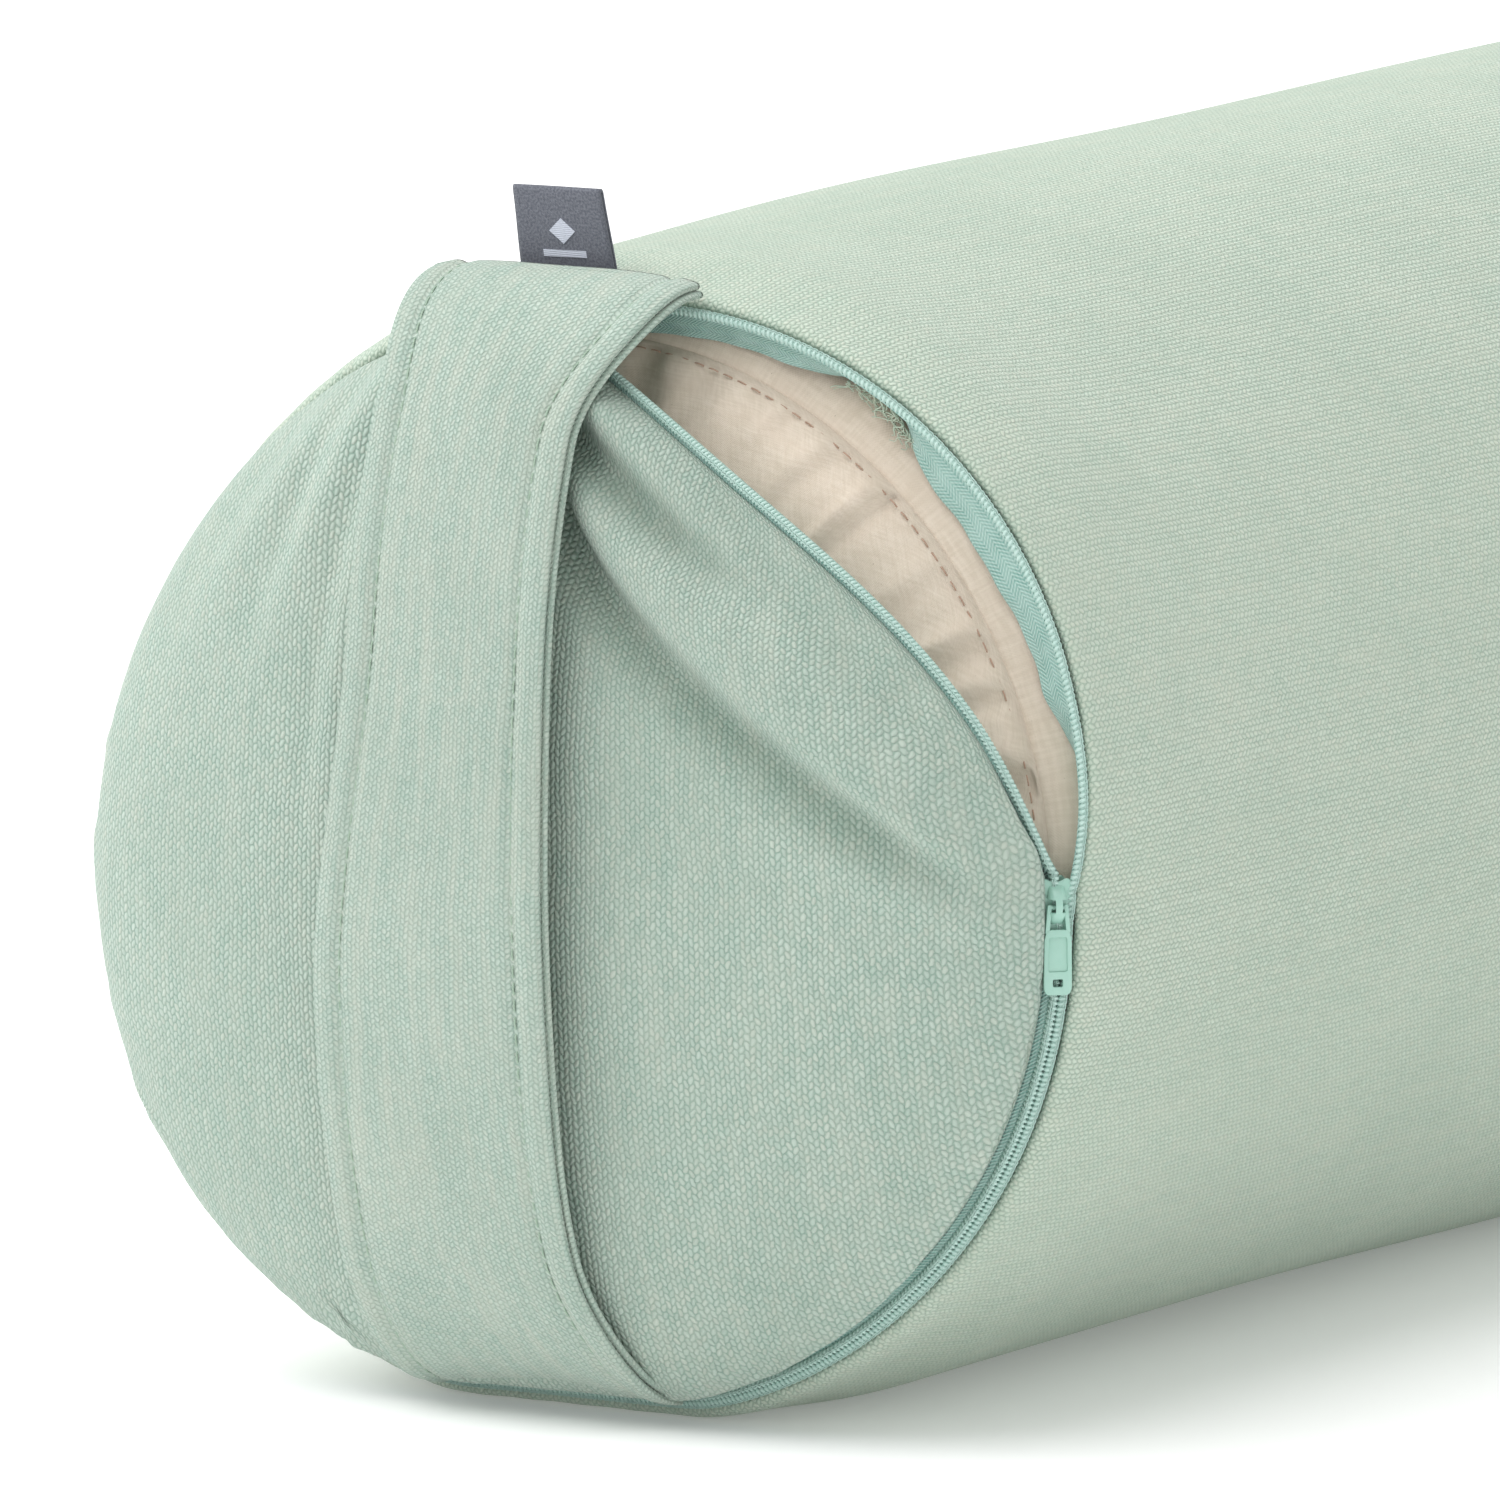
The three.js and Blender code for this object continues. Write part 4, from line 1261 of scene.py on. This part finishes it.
def place_round(angle, x, r, ax, ar, across, out):
    """Local points offset from the rim by across and out."""
    return ring(angle, x + ax * across - ar * out, r + ar * across + ax * out)


def coil(name, side, node):
    """A helical coil of nylon wire, flattened, with its cord core."""
    start = ZIP_TOP + 1.0
    turns = int(math.radians(ZIP_BOTTOM - start) * ZIP_RADIUS / COIL_PITCH)
    step = np.arange(turns * COIL_STEPS + 1) / COIL_STEPS
    angle = start + step / turns * (ZIP_BOTTOM - start)
    line = coil_centre(angle, side)
    phase = step * 2 * math.pi
    spots = place_round(angle, *line, -side * 0.60 * np.sin(phase), 0.50 * np.cos(phase))
    along = unit(np.gradient(spots, axis=0))
    out = spots - place_round(angle, *line, 0 * angle, 0 * angle)
    out = unit(out - along * (out * along).sum(1)[:, None])
    wire = sweep(spots, (np.cross(along, out), out), polar(1.0, circle(6)) * COIL_WIRE)
    angle = np.linspace(start, ZIP_BOTTOM, 700)
    line = coil_centre(angle, side)
    core = [place_round(angle, *line, 0.62 * math.cos(b), 0.5 * math.sin(b)) for b in circle(8)]
    parts = [tube_mesh(settled(rings)) for rings in (wire, np.stack(core, 1))]
    threads(name, parts, COIL_LOOK, "zip_coil", replaces=(node,))


def sewing(name, side):
    """The two thread rows along each coil that hold it to its tape."""
    angle = np.linspace(ZIP_TOP + 1, ZIP_BOTTOM, 2600)
    line = coil_centre(angle, side)
    parts = []
    for across in (0.12, 0.5):
        wave = side * across + 0.07 * np.sin(angle * 9.2)
        rise = 0.82 + 0.05 * np.cos(angle * 18.4)
        rings = [place_round(angle, *line, wave + 0.13 * math.cos(b), rise + 0.1 * math.sin(b))
                 for b in circle(5)]
        parts.append(tube_mesh(settled(np.stack(rings, 1))))
    threads(name, parts, SEWING_THREAD, "zip_tape")


def tape_panel():
    """Panel side tape: under its coil, along the hem, then turned down inside."""
    angles = np.linspace(ZIP_TOP - 5, ZIP_BOTTOM + 4, 480)
    section = np.array([(0.15, -0.62), (-0.6, -0.62), (-1.2, -0.6), (-1.9, -0.62), (-2.6, -0.9), (-3.1, -1.5),
                        (-3.4, -2.4), (-3.5, -4.0), (-3.5, -5.6), (-3.4, -7.2)])
    a, k = np.meshgrid(angles, np.arange(len(section)))
    across, out = section[:, 0][k], section[:, 1][k]
    gap = parting(a) * (np.abs(across) < 2.2)
    points = place_round(a, *panel_edge(a), across - gap, out)
    uv = np.stack([length_along(section)[k], np.radians(a) * ZIP_RADIUS], -1)
    obj = grid("zip_tape_panel", points, uv, TAPE_LOOK, "zip_tape", replaces=("zip_tape_panel_side",))
    thicken(obj, 0.45, offset=1)


def band_depth(angle):
    """How deep the tube side's tape hangs inside its rim: deep by the open mouth, pinched at one kink."""
    kink = bell(angle, 125, 5.5)
    mouth = 5.2 + 3.8 * smooth(angle, 124, 136)
    closing = smooth(angle, 144, 162)
    return mouth * (1 - 0.86 * kink) * (1 - closing) + 7.2 * closing


def tape_tube():
    """Tube side tape: under its coil, then hanging inside the rim."""
    angles = np.linspace(ZIP_TOP - 6, ZIP_BOTTOM + 4, 560)
    steps = np.linspace(0, 1, 12)
    head = [-0.1, 0.7, 1.3]
    a, k = np.meshgrid(angles, np.arange(len(head) + len(steps)))
    x, r, ax, ar = tube_edge(a)
    s = np.concatenate([[0] * len(head), steps])[k]
    across = np.concatenate([head, np.full(len(steps), 1.5)])[k]
    # In the open mouth the tape swings down across the gap; where the zip is shut it lies back inside.
    shut = smooth(a, 158, 168)
    wave = (0.55 * np.sin(a * 0.42) + 0.35 * np.sin(a * 1.13 + 1)) * s ** 1.5
    kink = bell(a, 125, 5.5)
    down_x = x + ax * (across - 0.9 * s) + 0.2 + s * (2.4 + 2.6 * kink) + wave * 0.7 + 4.4 * shut * s
    down_r = r + ar * across - 0.62 * ax - s * band_depth(a) * (1 - 0.45 * shut)
    hung = ring(a, down_x - 1.6 * kink * np.sin(math.pi * s), down_r)
    lie = place_round(a, x, r, ax, ar, across + parting(a) * (k < len(head)), np.full_like(a, -0.62))
    soft = smooth(k, 1.5, 3.2)[..., None]
    run = np.concatenate([[0, 0.8, 1.4], 1.9 + steps * 8])
    uv = np.stack([run[k], np.radians(a) * ZIP_RADIUS], -1)
    obj = grid("zip_tape_tube", lie * (1 - soft) + hung * soft, uv, TAPE_LOOK, "zip_tape",
               replaces=("zip_tape_tube_side",), flip=True)
    refine(thicken(obj, 0.4))


def fray():
    """The raw canvas edge that shows where the tape kinks: a short strip with loose threads."""
    random.seed(3)
    steps = np.linspace(0, 1, 9)
    parts = []
    for _ in range(46):
        at = random.uniform(121.5, 131.5)
        length = random.uniform(1.6, 4.2)
        sway = random.uniform(-2.2, 2.2)
        angle = at + sway * steps ** 2 + 0.35 * np.sin(steps * random.uniform(4, 10))
        x, r, _, _ = tube_edge(angle)
        depth = band_depth(at + 0 * steps) * 0.55 + 0.4 + steps * length
        spots = ring(angle, x + 2.2 + 1.4 * steps + random.uniform(-0.7, 0.7), r - depth)
        along = unit(np.gradient(spots, axis=0))
        one = unit(np.cross(along, [1.0, 0.2, 0.1]))
        section = polar(1.0, circle(5)) * random.uniform(0.08, 0.15)
        parts.append(tube_mesh(settled(sweep(spots, (one, np.cross(along, one)), section))))
    threads("cover_frayed_edge", parts, FRAY_THREAD, "cover_canvas")


def squared(turn, power=0.5):
    """Cosine and sine of a turn, pushed out towards a square."""
    return [math.copysign(abs(c) ** power, c) for c in (math.cos(turn), math.sin(turn))]


def zip_stops():
    """Three crimped stops: one at the top of each coil, and one across both at the bottom."""
    for name, node, side, at, width in (
        ("zip_stop_top_tube", "zip_top_stop_tube_side", 1, ZIP_TOP + 0.3, 0.95),
        ("zip_stop_top_panel", "zip_top_stop_panel_side", -1, ZIP_TOP + 0.3, 0.95),
        ("zip_stop_bottom", "zip_bottom_stop", 0, ZIP_BOTTOM + 0.9, 2.0),
    ):
        angle = np.linspace(at - 0.75, at + 0.75, 9)
        line = coil_centre(angle, side) if side else tube_edge(angle)
        pinch = 1 - 0.22 * np.abs(np.linspace(-1, 1, 9)) ** 3
        rings = []
        for b in circle(24):
            forth, up = squared(b)
            rings.append(place_round(angle, *line, width * pinch * forth, 0.92 * pinch * up))
        parts = [tube_mesh(settled(np.stack(rings, 1)))]
        refine(threads(name, parts, PAINTED_LOOK, "zip_metal", replaces=(node,)))


# ---- Slider, pull and lock: in the slider's own frame, then set on the rim ----
def slider_frame():
    origin = Vector(((SEAM_X + ZIP_SETBACK) / 1000, -ZIP_RADIUS / 1000, AXIS / 1000))
    across, along, out = Vector((1, -1, 0)).normalized(), Vector((0, 0, 1)), Vector((-1, -1, 0)).normalized()
    return Matrix.Translation(origin) @ Matrix((across, along, out)).transposed().to_4x4()


def outline_block(outline, low, high, soft=0.22, holes=()):
    """A bevelled plate from an outline of [x, y] points between two heights, as a bmesh."""
    bm = bmesh.new()
    edges = []
    for line in [outline, *holes]:
        verts = [bm.verts.new((x, y, low)) for x, y in line]
        edges += [bm.edges.new((verts[i], verts[(i + 1) % len(verts)])) for i in range(len(verts))]
    bmesh.ops.triangle_fill(bm, use_beauty=True, use_dissolve=True, edges=edges)
    made = bmesh.ops.extrude_face_region(bm, geom=list(bm.faces))["geom"]
    upper = [g for g in made if isinstance(g, bmesh.types.BMVert)]
    bmesh.ops.translate(bm, verts=upper, vec=(0, 0, high - low))
    bmesh.ops.recalc_face_normals(bm, faces=bm.faces)
    sharp = [e for e in bm.edges if len(e.link_faces) == 2 and e.calc_face_angle(0) > 0.5]
    bmesh.ops.bevel(bm, geom=sharp, offset=soft, segments=3, profile=0.6, affect="EDGES", clamp_overlap=True)
    return bm


def slider_piece(name, parts, body, node):
    """Parts built in the slider's frame, as one painted metal piece in its place on the rim."""
    bm = bmesh.new()
    for part in parts:
        mesh = bpy.data.meshes.new("part")
        part.to_mesh(mesh)
        bm.from_mesh(mesh)
        bpy.data.meshes.remove(mesh)
        part.free()
    bmesh.ops.scale(bm, vec=(0.001, 0.001, 0.001), verts=bm.verts)
    bm.transform(slider_frame())
    mesh = bpy.data.meshes.new(name)
    bm.to_mesh(mesh)
    bm.free()
    mesh.polygons.foreach_set("use_smooth", [True] * len(mesh.polygons))
    mesh.materials.append(PAINTED_LOOK)
    obj = bpy.data.objects.new(name, mesh)
    bpy.context.scene.collection.objects.link(obj)
    mesh.set_sharp_from_angle(angle=math.radians(40))
    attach(obj, body)
    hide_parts(node)


def rounded(points, radius, steps=5):
    """The outline with each corner rounded."""
    out = []
    count = len(points)
    for i, p in enumerate(points):
        p = Vector(p)
        a, b = Vector(points[i - 1]) - p, Vector(points[(i + 1) % count]) - p
        r = min(radius, a.length * 0.45, b.length * 0.45)
        start, end = p + a.normalized() * r, p + b.normalized() * r
        for k in range(steps + 1):
            t = k / steps
            out.append(tuple((1 - t) ** 2 * start + 2 * t * (1 - t) * p + t * t * end))
    return out


def crown():
    """A domed cover over the lock's spring, open at its sides where the pull's bar sits."""
    dome = bmesh.new()
    count, sides = 26, 18
    rows = []
    for i in range(count + 1):
        s = i / count
        inner = 0 < s < 1
        rise = 4.75 * (np.sin(math.pi * min(1.0, s * 1.04 + 0.02)) ** 0.42) if inner else 0.3
        wide = 1.15 + 0.75 * math.sin(math.pi * s) ** 0.8 if inner else 0.6
        row = []
        for b in np.linspace(0, math.pi, sides):
            up = max(rise - 1.6, 0.1) * math.sin(b) ** 0.75 if math.sin(b) > 0 else 0
            row.append(dome.verts.new((wide * squared(b, 0.8)[0], -3.5 + 8.3 * i / count, 1.6 + up)))
        rows.append(row)
    for i in range(count):
        for j in range(sides - 1):
            window = 0.30 < (i + 0.5) / count < 0.62 and (j < 7 or j > sides - 9)
            if not window:
                dome.faces.new((rows[i][j], rows[i][j + 1], rows[i + 1][j + 1], rows[i + 1][j]))
    bmesh.ops.recalc_face_normals(dome, faces=dome.faces)
    bmesh.ops.solidify(dome, geom=dome.faces[:], thickness=0.42)
    bmesh.ops.recalc_face_normals(dome, faces=dome.faces)
    return dome


def slider():
    # The plates are waisted: two shoulders towards the open mouth, narrow where the zip leaves shut.
    right = [(2.5, -5.2), (3.0, -2.0), (3.75, 1.0), (3.7, 4.2), (2.2, 5.5), (0.9, 4.7)]
    plate = rounded([(-2.5, -5.2)] + right + [(-x, y) for x, y in right[:0:-1]], 1.0)
    lower = [(x * 0.86, y) for x, y in plate]
    parts = [outline_block(plate, 1.1, 1.95, 0.3), outline_block(lower, -2.8, -2.0, 0.3)]
    wall = [(2.35, -5.0), (3.0, -2.0), (3.7, 1.0), (3.65, 2.6), (3.1, 2.6), (3.1, 1.0), (2.45, -2.0),
            (1.9, -5.0)]
    stub = [(2.2, -5.0), (2.6, -2.0), (3.2, 1.0), (3.2, 2.4), (2.7, 2.4), (2.6, 1.0), (2.0, -2.0),
            (1.7, -5.0)]
    for side in (-1, 1):
        for line, low, high, soft in ((wall, -0.6, 1.3, 0.15), (stub, -2.2, -1.2, 0.12)):
            parts.append(outline_block(rounded([(side * x, y) for x, y in line], 0.3, 2), low, high, soft))
    wedge = rounded([(-0.65, 4.6), (0.65, 4.6), (0.45, 2.6), (0, 1.6), (-0.45, 2.6)], 0.3, 3)
    parts.append(outline_block(wedge, -2.3, 1.5, 0.12))
    parts.append(crown())
    slider_piece("zip_slider", parts, "slider", "zip_slider_body")

    arms = []
    for side in (-1, 1):
        arm = [(side * x, y) for x, y in ((1.15, 0.55), (1.95, 0.55), (2.45, -4.9), (1.65, -4.9))]
        arms.append(outline_block(rounded(arm, 0.3, 3), 2.55, 3.45, 0.18))
    right = [(2.05, -4.2), (2.65, -6.0), (2.7, -15.4), (2.2, -16.6)]
    frame_line = rounded([(-2.05, -4.2)] + right + [(-x, y) for x, y in right[:0:-1]], 0.9)
    hole = rounded([(-1.0, -13.6), (1.0, -13.6), (1.0, -15.1), (-1.0, -15.1)], 0.35, 3)[::-1]
    pane = rounded([(-1.75, -5.6), (1.75, -5.6), (1.9, -12.2), (-1.9, -12.2)], 0.5, 3)[::-1]
    arms.append(outline_block(frame_line, 2.5, 3.5, 0.2, holes=[hole, pane]))
    arms.append(outline_block([(x * 1.02, y) for x, y in pane[::-1]], 2.72, 3.2, 0.06))
    bar = bmesh.new()
    bmesh.ops.create_cone(bar, cap_ends=True, segments=20, radius1=0.45, radius2=0.45, depth=3.4,
                          matrix=Matrix.Translation((0, 0, 3)) @ Matrix.Rotation(math.pi / 2, 4, "Y"))
    slider_piece("zip_pull", arms + [bar], "pull", "zip_pull_tab")

    pin = rounded([(-0.35, -1.85), (0.35, -1.85), (0.35, -1.15), (-0.35, -1.15)], 0.15, 3)
    slider_piece("zip_lock", [outline_block(pin, 1.0, 2.5, 0.12)], "lock", "zip_lock_pin")


# ---- Everything, from the inside out ----
COVER = CANVAS_LEVEL_LIT, "cover_canvas"
CASING = COTTON_LOOK, "casing_cotton"
filling()
casing()
cover_tube()
zip_end_panel()
plain_end_panel()
ring_allowance("cover_far_allowance", "cover_plain_end_seam_allowance", RIM_SPACING - 4.2, 107.0, 8.0, *COVER)
ring_allowance("casing_near_allowance", "casing_zip_end_seam_allowance", 5.0, 100.0, 9.0, *CASING)
ring_allowance("casing_far_allowance", "casing_plain_end_seam_allowance", RIM_SPACING - 6.0, 99.0, 9.0,
               *CASING)
long_allowance("cover_long_allowance", "cover_long_seam_allowance", 108.4, LONG_SEAM, 16.0, 24.0,
               RIM_SPACING - 14.0, *COVER)
long_allowance("casing_long_allowance", "casing_long_seam_allowance", 106.0, 300.0, 12.0, 30.0,
               RIM_SPACING - 40.0, *CASING)
strap()
label()
tape_panel()
tape_tube()
coil("zip_coil_tube", 1, "zip_coil_tube_side")
coil("zip_coil_panel", -1, "zip_coil_panel_side")
sewing("zip_sewing_tube", 1)
sewing("zip_sewing_panel", -1)
fray()
zip_stops()
slider()
